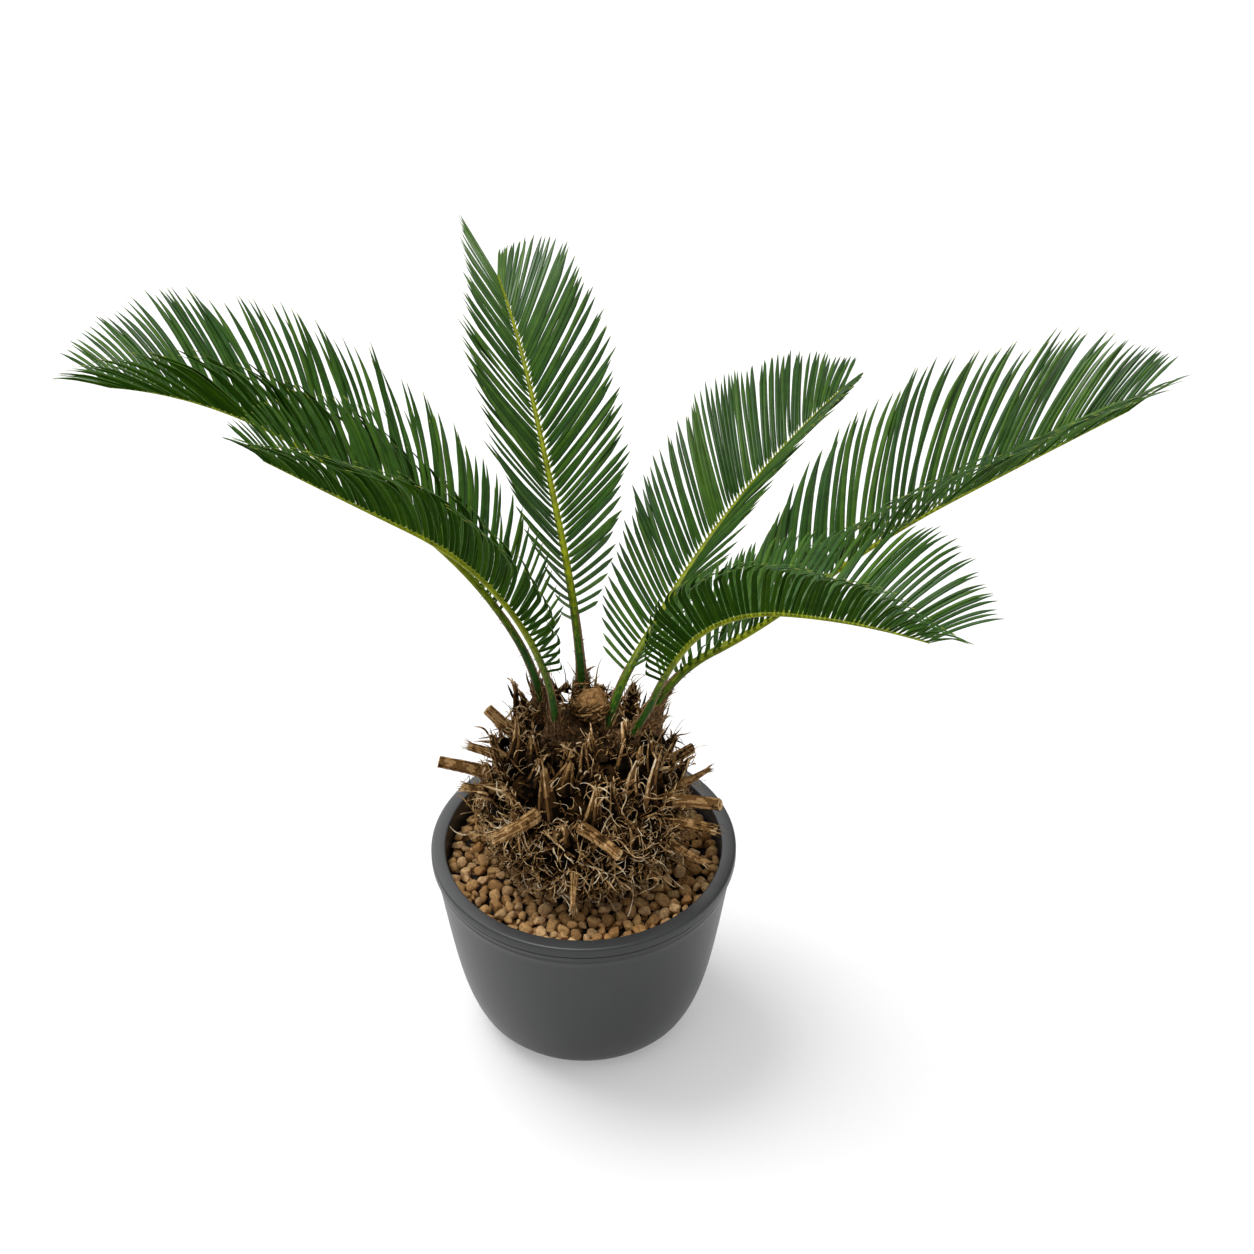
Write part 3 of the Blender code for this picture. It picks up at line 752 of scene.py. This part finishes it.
# Stems of cut fronds: azimuth and height on the trunk, heading and tilt, length outside the
# trunk, radius at the root and at the end, and how the end looks
STEMS = {
    "stem_left_long": (175, 0.277, 176, 14, 0.040, 0.0056, 0.0050, "cut"),
    "stem_left_upper": (158, 0.314, 158, 38, 0.025, 0.0056, 0.0050, "cut"),
    "stem_left_small": (173, 0.297, 172, 18, 0.021, 0.0045, 0.0036, "ragged"),
    "stem_left_lower": (201, 0.292, 203, 22, 0.030, 0.0048, 0.0036, "ragged"),
    "stem_right_long": (-22, 0.279, -21, 13, 0.042, 0.0058, 0.0054, "cut"),
    "stem_right_split": (-9, 0.282, -12, 42, 0.034, 0.0042, 0.0020, "ragged"),
    "stem_right_knob": (-25, 0.260, -24, 5, 0.034, 0.0052, 0.0048, "ragged"),
    "stem_right_root": (-29, 0.236, -28, -16, 0.030, 0.0040, 0.0026, "ragged"),
    "stem_front_pale": (236, 0.290, 222, 2, 0.040, 0.0060, 0.0052, "ragged"),
    "stem_front_mid": (-85, 0.288, -40, -10, 0.034, 0.0054, 0.0050, "cut"),
    "stem_front_spike": (-94, 0.236, -94, -38, 0.020, 0.0036, 0.0020, "ragged"),
    "stem_back_left": (122, 0.258, 120, 2, 0.026, 0.0056, 0.0048, "cut"),
    "stem_back_mid": (82, 0.262, 84, 10, 0.030, 0.0054, 0.0046, "cut"),
    "stem_back_right": (38, 0.245, 36, 0, 0.028, 0.0056, 0.0050, "cut"),
}
STEM_ROOT_DEPTH = 0.012
STEM_ROWS, STEM_AROUND = 26, 28
STEM_BOW = 0.0014
STEM_FLARE = 0.15           # wider by this share at the root
STEM_LUMPS = ((2, .06), (3, .05), (7, .03), (11, .02))     # waves round it, share of radius
# How an end looks: rise of its rim and sink of its middle in mm, count, back set (share)
# and most length in mm of its splinters
STEM_ENDS = {"cut": (0.3, 0.5, 7, -0.25, 1.5), "ragged": (-1.5, 3.0, 16, 0.0, 9)}
STREAK_ABOVE = (-0.9, 0.25, 1.5)    # grain above which each lighter bark begins


def make_stem(name, spec, materials):
    azimuth, z, heading, tilt, length, root_radius, end_radius, end = spec
    rim, sink, count, back, longest = STEM_ENDS[end]
    rng = np.random.default_rng(sum(ord(c) * (i + 3) for i, c in enumerate(name)))
    aim = pointing(heading, tilt)
    x = np.linspace(0, 1, STEM_ROWS)
    root = trunk_surface(azimuth, z)[0] - aim * STEM_ROOT_DEPTH
    line = root + np.outer(x * (length + STEM_ROOT_DEPTH), aim)
    line = line + np.outer(np.sin(x * math.pi) * STEM_BOW, unit(rng.normal(size=3)))
    radius = root_radius * (1 + STEM_FLARE * (1 - x)) * (1 - x) + end_radius * x
    side = unit(np.cross(aim, (0.1, 0.2, 1.0)))
    up = np.cross(aim, side)
    turn = turns(STEM_AROUND)
    ridges = 1 + sum(np.sin(turn * n + rng.uniform(0, 6)) * s for n, s in STEM_LUMPS)
    ridges = ridges + rng.normal(size=(STEM_ROWS, STEM_AROUND)) * 0.025
    ring = spokes(turn, side, up)
    points = line[:, None] + ring * (radius[:, None] * ridges)[..., None]
    if end == "ragged":
        for row, rough in ((-1, 1.6), (-2, 0.6)):
            points[row] += aim * rng.normal(size=(STEM_AROUND, 1)) * mm(rough)
    inner = line[-1] + ring * end_radius * 0.78 + aim * mm(rim)
    hollow = line[-1] + ring * end_radius * 0.34 - aim * mm(sink)
    points = np.concatenate([points, inner[None], hollow[None]])
    grain = bumps(points[:-1], rng, 8, 0.004, 0.014) * 0.7 + rng.normal(size=STEM_AROUND) * 0.5
    slots = 1 + sum(grain > edge for edge in STREAK_ABOVE)
    cut = np.where(rng.random(slots.shape) < 0.5, 3, 4)
    slots[-2:] = cut[-2:]
    pile = Pile()
    loft(pile, points[None], slots, ends=(1, 2))
    spoke = spokes(rng.uniform(0, 2 * math.pi, count), side, up)
    starts = line[-1] + spoke * end_radius * 0.85 - aim * mm(5)
    ends = starts + aim * mm(5) * (1 + back) + (aim * (1 + back) + spoke * 0.35) * mm(
        rng.uniform(1, longest, (count, 1)))
    splinters(pile, starts, ends, rng, mm(0.55), 5, shade_choice(rng, count, (0, 1, 4, 5, 3)))
    pile.build(name + "_bark", materials, "stem_brown", name)


# Fronds, in the terms of the frame's own blades: the midrib leaves the crown at "foot",
# "below" of it is sunk in the trunk, and "arch" is its tilt at the ARCH_AT shares of its
# length. Leaflets stand "spacing" mm apart, turn unevenly by "loose" and take the greens of
# "leaf" in LEAF_LIGHTINGS, lightened or darkened there as painted sheen and shade. Each side
# has their lean to the midrib, keel angle out of the frond's plane and reach in mm at the
# LEAF_AT shares of the leafy stretch, how far their tips bend forward, down and outward, and a
# hook that curls their last part forward.
ARCH_AT = (0.0, 0.15, 0.35, 0.65, 1.0)
LEAF_AT = (0.0, 0.25, 0.5, 0.75, 1.0)
FRONDS = {
    "frond_left_back": dict(
        foot=(-0.037, 0.0155, 0.352), below=0.016, heading=160, sweep=5, length=0.512,
        leaf="near", arch=(84, 60, 40, 26, -6), leafy_from=0.20, spacing=6.2, loose=1.0,
        left=((64, 62, 61, 54, 38), (80, 76, 70, 62, 54), (70, 119, 127, 98, 46),
              (0.10, 0.04, 0.04), 0.13),
        right=((60, 51, 49, 49, 38), (38, 44, 50, 54, 53), (79, 136, 131, 112, 52),
               (0.24, 0.08, 0.10), 0.02)),
    "frond_left_front": dict(
        foot=(-0.024, -0.016, 0.354), below=0.018, heading=188, sweep=1, length=0.410,
        leaf="near", arch=(90, 75, 61, 36, 37), leafy_from=0.15, spacing=5.5, loose=1.0,
        left=((66, 54, 55, 50, 34), (44, 52, 62, 61, 53), (48, 110, 130, 103, 48),
              (0.18, 0.07, 0.11), 0.13),
        right=((88, 70, 58, 44, 24), (62, 56, 54, 52, 52), (24, 80, 123, 108, 42),
               (0.12, 0.12, 0.08), 0.02)),
    "frond_middle": dict(
        foot=(0.0, 0.0336, 0.352), below=0.018, heading=106, sweep=-2, length=0.426,
        leaf="far", arch=(84, 62, 41, 34, 3), leafy_from=0.16, spacing=5.6, loose=1.0,
        left=((72, 61, 54, 45, 27), (58, 52, 45, 46, 54), (42, 104, 107, 74, 76),
              (0.21, 0.09, 0.0), 0.0),
        right=((74, 72, 65, 51, 20), (53, 56, 55, 49, 44), (34, 108, 121, 102, 34),
               (0.17, 0.12, 0.03), 0.0)),
    "frond_right_back": dict(
        foot=(0.022, -0.0107, 0.341), below=0.010, heading=56, sweep=-3, length=0.433,
        leaf="side", arch=(74, 32, 27, 13, 5), leafy_from=0.13, spacing=4.7, loose=0.8,
        left=((78, 60, 54, 42, 20), (42, 44, 42, 38, 36), (44, 98, 123, 99, 42),
              (0.18, 0.14, 0.09), 0.0),
        right=((70, 60, 50, 39, 24), (48, 56, 61, 61, 56), (40, 92, 103, 68, 22),
               (0.16, 0.09, 0.09), 0.03)),
    "frond_right_far": dict(
        foot=(0.0658, 0.0113, 0.3513), below=0.045, heading=16, sweep=3, length=0.505,
        leaf="far", arch=(68, 21, 36, 21, 19), leafy_from=0.07, spacing=6.0, loose=1.1,
        left=((68, 57, 57, 44, 26), (49, 52, 56, 55, 51), (24, 116, 146, 130, 60),
              (0.20, 0.08, 0.06), 0.02),
        right=((70, 67, 66, 56, 40), (72, 66, 60, 60, 61), (22, 112, 122, 106, 56),
               (0.10, 0.09, 0.05), 0.13)),
    "frond_right_front": dict(
        foot=(0.0442, -0.0196, 0.346), below=0.016, heading=-27, sweep=1, length=0.376,
        leaf="near", arch=(61, 72, 59, 15, -1), leafy_from=0.20, spacing=4.5, loose=0.5,
        left=((84, 84, 82, 70, 42), (42, 36, 30, 28, 55), (40, 75, 102, 146, 72),
              (-0.04, 0.24, 0.02), 0.02),
        right=((60, 54, 62, 66, 52), (38, 55, 64, 65, 58), (44, 98, 120, 110, 60),
               (0.06, 0.0, 0.08), 0.13)),
}
RIB_RADIUS = 0.0054
RIB_TAPER = 0.84            # share of the radius lost by the tip
RIB_TAPER_POWER = 0.60      # below 1 the midrib thins soonest near the foot
RIB_STEPS, RIB_AROUND = 130, 20
MIDRIB_STEPS = 300          # steps that the midrib's curve is added up in
LEAFLET_WIDTH = 0.0029      # of every leaflet, to which a share of the spacing is added
LEAFLET_WIDENING = 0.40
LEAFLET_WIDTH_AT = ((0, 0.15, 0.75, 1), (0.66, 1.0, 0.92, 0.60))    # share of that on the way
LEAFLET_THINNEST = 0.00055
LEAFLET_TWIST = (10, 7)     # mean and spread
LEAFLET_SHADES = (0.30, 0.34, 0.24, 0.12)
BASE_SPREAD = 0.88          # below 1 the leaflets stand further apart towards the base
HOOK_FROM = 0.72            # share of a leaflet at which its hook begins
# Leaflet outline across: top with a sunken midrib and rolled edges, then the underside
LEAFLET_RING = np.array([(1, -.66), (.62, -.20), (.14, 0), (0, -.12), (-.14, 0), (-.62, -.20),
                         (-1, -.66), (-.93, -.78), (-.5, -.36), (0, -.40), (.5, -.36),
                         (.93, -.78)])
LEAFLET_UNDERSIDE = slice(7, 11)
LEAFLET_EDGES = (6, 11)
# Shares of a leaflet's length, and its width there: quick to widen, then pointed
LEAFLET_AT = np.array((0, .03, .06, .14, .25, .37, .49, .60, .70, .79, .87, .93, .975, 1))
LEAFLET_OUTLINE = (np.minimum(0.40 + 8.0 * LEAFLET_AT, 1.0)
                   * np.minimum(1.0, (1.006 - LEAFLET_AT) / 0.22) ** 0.74)
LEAF_SLOTS = dict(tip=4, base=5, edge=6, under=7)
RIB_SLOTS = dict(stalk=0, leafy=3, edge=4, wool=5)
FRONT = (0.0, -0.78, 0.62)  # the side that the plant is looked at from
SHEATH_COLUMNS, SHEATH_ROWS = 32, 16
SPINE_SPACING = 0.0032
STALK_TUFTS = 90


def midrib(frond, shares):
    """Points on the midrib with the along, left and up directions there."""
    def directions(t):
        heading = frond["heading"] + frond["sweep"] * t
        along = pointing(heading, np.interp(t, ARCH_AT, frond["arch"]))
        left = pointing(heading + 90)
        return along, left, np.cross(along, left)

    grid = (np.arange(MIDRIB_STEPS) + 0.5) / MIDRIB_STEPS
    path = np.vstack([np.zeros(3), np.cumsum(directions(grid)[0], 0)])
    path = path * frond["length"] / MIDRIB_STEPS + np.array(frond["foot"])
    shares = np.atleast_1d(shares)
    at = np.linspace(0, 1, MIDRIB_STEPS + 1)
    points = np.stack([np.interp(shares, at, path[:, i]) for i in range(3)], 1)
    return (points, *directions(shares))


def rib_radius(t):
    return RIB_RADIUS * (1 - RIB_TAPER * np.clip(t, 0, 1) ** RIB_TAPER_POWER)


def facing_sides(along):
    """Directions in which a stalk's margins lie: across it as seen from the front."""
    return unit(np.cross(along, FRONT))


def clustered(rng, count):
    """Small turns that make neighbouring leaflets close up in groups of a few."""
    angles = np.zeros(count)
    i = 0
    while i < count:
        size = int(rng.integers(2, 6))
        group = np.arange(i, min(i + size, count))
        angles[group] = rng.normal() * 1.3 - (group - group.mean()) * rng.uniform(0.3, 1.3)
        i += size
    return angles


def make_leaflets(name, frond, materials, rng):
    pile = Pile()
    for sign, side in ((1, "left"), (-1, "right")):
        add_leaflets(pile, frond, sign, side, rng)
    nodes = [f"{name}_{side}_{part}" for side in ("left", "right")
             for part in ("inner", "outer")]
    pile.build(name + "_leaflets", materials, "leaf_green", *nodes)


def add_leaflets(pile, frond, sign, side, rng):
    """The leaflets of one side, each with its own small turn, length, width and shade."""
    lean_at, keel_at, reach_at, (forward, down, outward), hook = frond[side]
    leafy, loose = 1 - frond["leafy_from"], frond["loose"]
    count = int(frond["length"] * leafy / mm(frond["spacing"]))
    w = ((np.arange(count) + (0.25 if sign > 0 else 0.75)) / count) ** BASE_SPREAD
    w = (w + rng.normal(size=count) * 0.0012).clip(0, 0.995)
    t = frond["leafy_from"] + w * leafy
    root, along, left, up = midrib(frond, t)
    lean = np.interp(w, LEAF_AT, lean_at) + clustered(rng, count) * loose
    lean = np.radians(lean + rng.normal(size=count) * 0.9)[:, None]
    keel = np.interp(w, LEAF_AT, keel_at) + rng.normal(size=count) * 1.6 * loose
    keel = np.radians(keel)[:, None]
    reach = np.interp(w, LEAF_AT, reach_at) * rng.uniform(0.955, 1.02, count)
    reach = mm(reach * (0.75 + 0.25 * np.minimum(1, np.arange(count) / 3)))[:, None]
    rise = sign * left * np.cos(keel) + up * np.sin(keel)
    away = sign * left * np.sin(keel) - up * np.cos(keel)
    straight = along * np.cos(lean) + rise * np.sin(lean)
    bend = along * forward + away * outward - UP * down
    bend = bend + rng.normal(size=(count, 3)) * 0.012 * loose
    curl = (along - rise * 0.55 + away * 0.2) * hook * rng.uniform(0.5, 1.4, (count, 1))
    start = rib_radius(t)[:, None] * 0.75 / reach
    x = (start + (1 - start) * LEAFLET_AT)[..., None]
    late = np.maximum(x - HOOK_FROM, 0) / (1 - HOOK_FROM)
    paths = root[:, None] + reach[:, None] * (straight[:, None] * x + bend[:, None] * x ** 2
                                              + curl[:, None] * late ** 2)
    full = LEAFLET_WIDTH + LEAFLET_WIDENING * mm(frond["spacing"])
    full = full * np.interp(w, *LEAFLET_WIDTH_AT) * rng.uniform(0.9, 1.08, count)
    wide = full[:, None] / 2 * LEAFLET_OUTLINE * (1 - hook)
    mean, spread = LEAFLET_TWIST
    twist = np.radians(rng.normal(size=count) * spread + mean)[:, None, None]
    width_way = -sign * along[:, None]
    off = np.cross(unit(np.gradient(paths, axis=1)), np.broadcast_to(width_way, paths.shape))
    sides = width_way * np.cos(twist) + unit(off) * np.sin(twist)
    shade = rng.choice(4, count, p=LEAFLET_SHADES)[:, None, None]
    slots = np.broadcast_to(shade, (count, len(LEAFLET_AT) - 1, len(LEAFLET_RING))).copy()
    # The undersides take the darker under greens: painted shade on leaflets that face away from
    # the light.
    slots[:, :, LEAFLET_UNDERSIDE] = LEAF_SLOTS["under"] + (shade > 1)
    # The edge faces take the pale edge trim: a painted highlight along each leaflet's rim.
    slots[:, :, LEAFLET_EDGES] = LEAF_SLOTS["edge"]
    slots[:, -1] = LEAF_SLOTS["tip"]
    slots[:, 0] = LEAF_SLOTS["base"]
    sweep(pile, paths, sides, wide, np.maximum(wide, LEAFLET_THINNEST), LEAFLET_RING, slots)


def make_rib(name, frond, materials, rng):
    """The midrib: a green stalk with brown margins and a yellow-green leafy part."""
    pile = Pile()
    t = np.linspace(-frond["below"] / frond["length"], 1.0, RIB_STEPS)
    points, along, left, up = midrib(frond, t.clip(0, 1))
    points = points + along * (np.minimum(t, 0) * frond["length"])[:, None]
    radius = rib_radius(t)
    turn = turns(RIB_AROUND, 0.5)
    ring = np.stack([np.cos(turn) * (1 + 0.05 * np.cos(2 * turn)), np.sin(turn) * 0.88], 1)
    face_turn = turns(RIB_AROUND, 1)[None, :, None]
    outward = -left[:-1, None] * np.cos(face_turn) - up[:-1, None] * np.sin(face_turn)
    sideways = np.abs((outward * facing_sides(along[:-1])[:, None]).sum(-1))
    start = frond["leafy_from"]
    share = (t[:-1] - start + 0.08) / 0.20
    shade = share[:, None] * 3 + rng.normal(size=(RIB_STEPS - 1, RIB_AROUND)) * 0.30
    slots = np.clip(np.rint(shade), RIB_SLOTS["stalk"], RIB_SLOTS["leafy"]).astype(int)
    ends = start + 0.03 * rng.random((RIB_STEPS - 1, RIB_AROUND))
    slots[(sideways > 0.72) & (t[:-1, None] < ends)] = RIB_SLOTS["edge"]
    sweep(pile, points[None], -left[None], radius[None], radius[None], ring, slots[None])
    add_sheath(pile, frond, rng)
    pile.build(name + "_midrib", materials, "rib_green", name + "_rib_lower",
               name + "_rib_upper")


def add_sheath(pile, frond, rng):
    """The woolly base of a stalk, which widens downwards and climbs along both margins."""
    turn = turns(SHEATH_COLUMNS)
    v = np.linspace(0, 1, SHEATH_ROWS)[:, None]
    _, along, left, up = (d[0] for d in midrib(frond, 0.02))
    side = facing_sides(along)
    edge = np.abs(np.cos(turn - math.atan2(side @ up, -side @ left)))
    top = mm(5) + mm(24) * edge ** 3 * rng.uniform(0.8, 1.1, SHEATH_COLUMNS)
    low = -min(frond["below"], 0.022)
    s = low + (top - low) * v
    t = (s / frond["length"]).clip(0, 1)
    base, along, left, up = (d.reshape(*s.shape, 3) for d in midrib(frond, t.ravel()))
    base = base + along * np.minimum(s, 0)[..., None]
    swell = 1 + (0.35 + 1.35 * edge ** 2) * (1 - v) ** 1.9
    ribs = 1 + 0.10 * rng.normal(size=(1, SHEATH_COLUMNS)) * (1 - 0.5 * v)
    wide = (rib_radius(t) + mm(0.35)) * swell * ribs
    ring = (-left * (np.cos(turn) * wide)[..., None]
            + up * (np.sin(turn) * wide * 0.9)[..., None])
    tones = RIB_SLOTS["wool"] + (rng.random((SHEATH_ROWS - 1, SHEATH_COLUMNS)) < 0.40)
    loft(pile, (base + ring)[None], tones)


def make_spines(name, frond, materials, rng):
    """Small spines along a stalk's margins, and tufts of wool round its foot."""
    pile = Pile()
    stalk = frond["leafy_from"]
    count = int(stalk * frond["length"] / SPINE_SPACING)
    t = rng.uniform(0.01, stalk + 0.05, count)
    points, along, left, up = midrib(frond, t)
    sign = rng.choice((-1, 1), count)[:, None]
    out = unit(facing_sides(along) * sign + rng.normal(size=(count, 3)) * 0.25)
    starts = points + out * rib_radius(t)[:, None] * 0.9
    ends = starts + unit(out + along * 0.5) * mm(rng.uniform(1.2, 4.2, (count, 1)))
    splinters(pile, starts, ends, rng, mm(rng.uniform(0.25, 0.5, count)), 4,
              shade_choice(rng, count, (0, 2, 3, 3, 1)))
    count = STALK_TUFTS
    t = rng.uniform(-0.02, 0.05, count)
    points, along, left, up = midrib(frond, t.clip(0, 1))
    turn = rng.uniform(0, 2 * math.pi, (count, 1))
    out = left * np.cos(turn) + up * np.sin(turn)
    starts = points + out * rib_radius(t)[:, None] * 1.2 - along * mm(4)
    ends = starts + unit(along + out * 0.3) * mm(rng.uniform(4, 12, (count, 1)))
    splinters(pile, starts, ends, rng, mm(rng.uniform(0.3, 0.6, count)), 5,
              shade_choice(rng, count, (0, 2, 4, 3, 1)))
    pile.build(name + "_spines", materials, "rib_green")


# Greens of the tops, trims and undersides, in the order of LEAF_SLOTS; a trim and a stalk
# have a colour, a darker one and a roughness. The undersides are darker than the tops, painted
# shade, and the pale edge trim is a painted highlight along each leaflet's rim.
LEAF_GREENS = {"deep": (0.026, 0.080, 0.008), "green": (0.040, 0.110, 0.011),
               "fresh": (0.058, 0.138, 0.012), "blue": (0.034, 0.097, 0.018)}
LEAF_TRIMS = {"tip": ((0.22, 0.26, 0.016), (0.14, 0.18, 0.012), 0.55),
              "base": ((0.26, 0.33, 0.02), (0.18, 0.24, 0.015), 0.5),
              # A pale rim on each leaflet: painted highlight.
              "edge": ((0.10, 0.21, 0.014), (0.08, 0.16, 0.010), 0.5)}
# Darker than the tops: painted shade on the undersides, which face away from the light.
LEAF_SHADED_UNDERS = {"under_deep": (0.013, 0.045, 0.0009), "under": (0.023, 0.066, 0.0012)}
# Specular and lightness: the far leaflets are seen at the angle at which they shine. The
# lightness scales each frond's greens as painted light: up on the far fronds, a painted sheen,
# a little down on the near fronds and more on the side frond, painted shade.
LEAF_LIGHTINGS = {"near": (0.16, 0.98), "far": (0.38, 1.06), "side": (0.24, 0.92)}
STALK_GREEN = np.array((0.020, 0.078, 0.003))
MIDRIB_GREEN = np.array((0.25, 0.29, 0.004))
STALK_WOOLS = {"stalk_wool": ((0.150, 0.080, 0.036), (0.045, 0.023, 0.010)),
               "stalk_wool_pale": ((0.26, 0.155, 0.075), (0.10, 0.055, 0.024))}


def leaf_materials(kind):
    specular, light = LEAF_LIGHTINGS[kind]
    made = []
    for name, color in LEAF_GREENS.items():
        # Lightened or darkened per frond: painted sheen and painted shade.
        color = shaded(color, light)
        made.append(node_material(f"leaf_{kind}_{name}", color, 0.34, shaded(color, 0.70),
                                  scale=90, specular=specular, roughness_span=0.06))
    for name, (color, dark, roughness) in LEAF_TRIMS.items():
        made.append(node_material(f"leaf_{kind}_{name}", color, roughness, dark))
    for name, color in LEAF_SHADED_UNDERS.items():
        made.append(node_material(f"leaf_{kind}_{name}", color, 0.6, shaded(color, 0.75),
                                  scale=90, specular=0.01, roughness_span=0.05))
    return made


def rib_materials():
    made = []
    for step in range(RIB_SLOTS["edge"]):
        color = STALK_GREEN + (MIDRIB_GREEN - STALK_GREEN) * (step / RIB_SLOTS["leafy"]) ** 1.3
        made.append(node_material(f"rib_shade_{step}", color, 0.42, color * 0.55,
                                  scale=230 - 40 * step, specular=0.16, roughness_span=0.05))
    made.append(node_material("stalk_edge", (0.22, 0.115, 0.060), 0.7, (0.10, 0.060, 0.025),
                              scale=300, bump=0.3, specular=0.2))
    for name, (color, dark) in STALK_WOOLS.items():
        made.append(node_material(name, color, 0.95, dark, scale=380, bump=0.8,
                                  bump_scale=1400, bump_size=0.001, specular=0.1))
    return made


# Stage and camera

FLOOR_HALF = 30
FLOOR_Z = -0.0004
FLOOR_COLOR = (0.88, 0.88, 0.88)
SKY_TOWARDS = (-0.42, 0.50, 0.76)     # the brightest part of the studio
SKY_SPAN = (-0.55, 0.85)              # cosines to it where the sky is dimmest and brightest
SKY_DIM, SKY_BRIGHT = 0.30, 0.70
# Suns: azimuth, rise, spread and strength. The floor has its own; the low one is shaded by
# LOW_PIECES alone and the fill by nothing. The sheen lights the pot by reflection alone.
SUNS = {"key": (194.0, 77.0, 26.0, 2.8), "key_on_floor": (143.0, 58.0, 40.0, 0.82),
        "low_key_on_floor": (145.0, 60.0, 36.0, 0.92),
        "fill_on_floor": (90.0, 90.0, 20.0, 0.95), "sheen_on_pot": (125.0, 38.0, 60.0, 2.2)}
LOW_PIECES = ("pot_shell", "trunk_core", "leaf_bases_upper", "leaf_bases_middle",
              "leaf_bases_lower")
CAMERA_RISE = 38.6
CAMERA_AIM = (0.0402, 0.0, 0.4528)
CAMERA_DISTANCE = 2.589
CAMERA_LENS = 85.0
CAMERA_SENSOR = 36.0


def group(name, *pieces):
    """A collection that light linking can name."""
    made = bpy.data.collections.new(name)
    for piece in pieces:
        made.objects.link(bpy.data.objects[piece])
    return made


def make_floor():
    mesh = bpy.data.meshes.new("floor")
    corners = [(x * FLOOR_HALF, y * FLOOR_HALF, 0) for x, y in
               ((-1, -1), (1, -1), (1, 1), (-1, 1))]
    mesh.from_pydata(corners, [], [(0, 1, 2, 3)])
    floor = add_object("floor", mesh)
    floor.location.z = FLOOR_Z
    paint = bpy.data.materials.new("floor_white")
    paint.use_nodes = True
    set_inputs(paint.node_tree, paint.node_tree.nodes["Principled BSDF"],
               Base_Color=(*FLOOR_COLOR, 1), Roughness=0.9, Specular_IOR_Level=0.1)
    mesh.materials.append(paint)


def make_sky():
    world = bpy.data.worlds.new("studio")
    bpy.context.scene.world = world
    world.use_nodes = True
    tree = world.node_tree
    source = add_node(tree, "TexCoord").outputs["Generated"]
    facing = add_node(tree, "VectorMath", Vector=source)
    facing.operation = "DOT_PRODUCT"
    facing.inputs[1].default_value = SKY_TOWARDS
    span = add_node(tree, "MapRange", Value=facing.outputs["Value"], From_Min=SKY_SPAN[0],
                    From_Max=SKY_SPAN[1], To_Min=SKY_DIM, To_Max=SKY_BRIGHT)
    span.interpolation_type = "SMOOTHSTEP"
    set_inputs(tree, tree.nodes["Background"], Color=(1, 1, 1, 1),
               Strength=span.outputs["Result"])


def make_suns():
    for name, (azimuth, rise, spread, strength) in SUNS.items():
        lamp = bpy.data.lights.new(name, "SUN")
        lamp.energy = strength
        lamp.angle = math.radians(spread)
        sun = add_object(name, lamp)
        sun.rotation_euler = (0, math.radians(90 - rise), math.radians(azimuth))


def link_suns():
    """Says which pieces each sun lights, and which ones shade it."""
    links = {name: bpy.data.objects[name].light_linking for name in SUNS}
    all_but_floor = group("not_the_floor", "floor")
    all_but_floor.collection_objects[0].light_linking.link_state = "EXCLUDE"
    floor_only = group("floor_only", "floor")
    links["key"].receiver_collection = all_but_floor
    for name in ("key_on_floor", "low_key_on_floor", "fill_on_floor"):
        links[name].receiver_collection = floor_only
    links["low_key_on_floor"].blocker_collection = group("low_pieces", *LOW_PIECES)
    links["fill_on_floor"].blocker_collection = floor_only
    links["sheen_on_pot"].receiver_collection = group("pot_only", "pot_shell")
    bpy.data.lights["sheen_on_pot"].diffuse_factor = 0.0


def make_camera():
    lens = bpy.data.cameras.new("camera")
    lens.lens = CAMERA_LENS
    lens.sensor_width = CAMERA_SENSOR
    camera = add_object("camera", lens)
    camera.location = np.array(CAMERA_AIM) + CAMERA_DISTANCE * pointing(-90, CAMERA_RISE)
    camera.rotation_euler = (math.radians(90 - CAMERA_RISE), 0, 0)
    bpy.context.scene.camera = camera


def main():
    bpy.context.scene.view_settings.view_transform = "Standard"
    make_camera()
    make_floor()
    make_sky()
    make_suns()
    make_pot()
    make_pebbles()
    bark = bark_materials()
    make_trunk_core(bark)
    make_husks(bark)
    make_torn_bases(bark)
    make_strands(bark)
    make_spikes(bark)
    make_bud(bark)
    for name, spec in STEMS.items():
        make_stem(name, spec, bark)
    ribs = rib_materials()
    leaves = {kind: leaf_materials(kind) for kind in LEAF_LIGHTINGS}
    for seed, (name, frond) in enumerate(FRONDS.items()):
        rng = np.random.default_rng(100 + seed)
        make_leaflets(name, frond, leaves[frond["leaf"]], rng)
        make_rib(name, frond, ribs, rng)
        make_spines(name, frond, bark, rng)
    link_suns()


main()
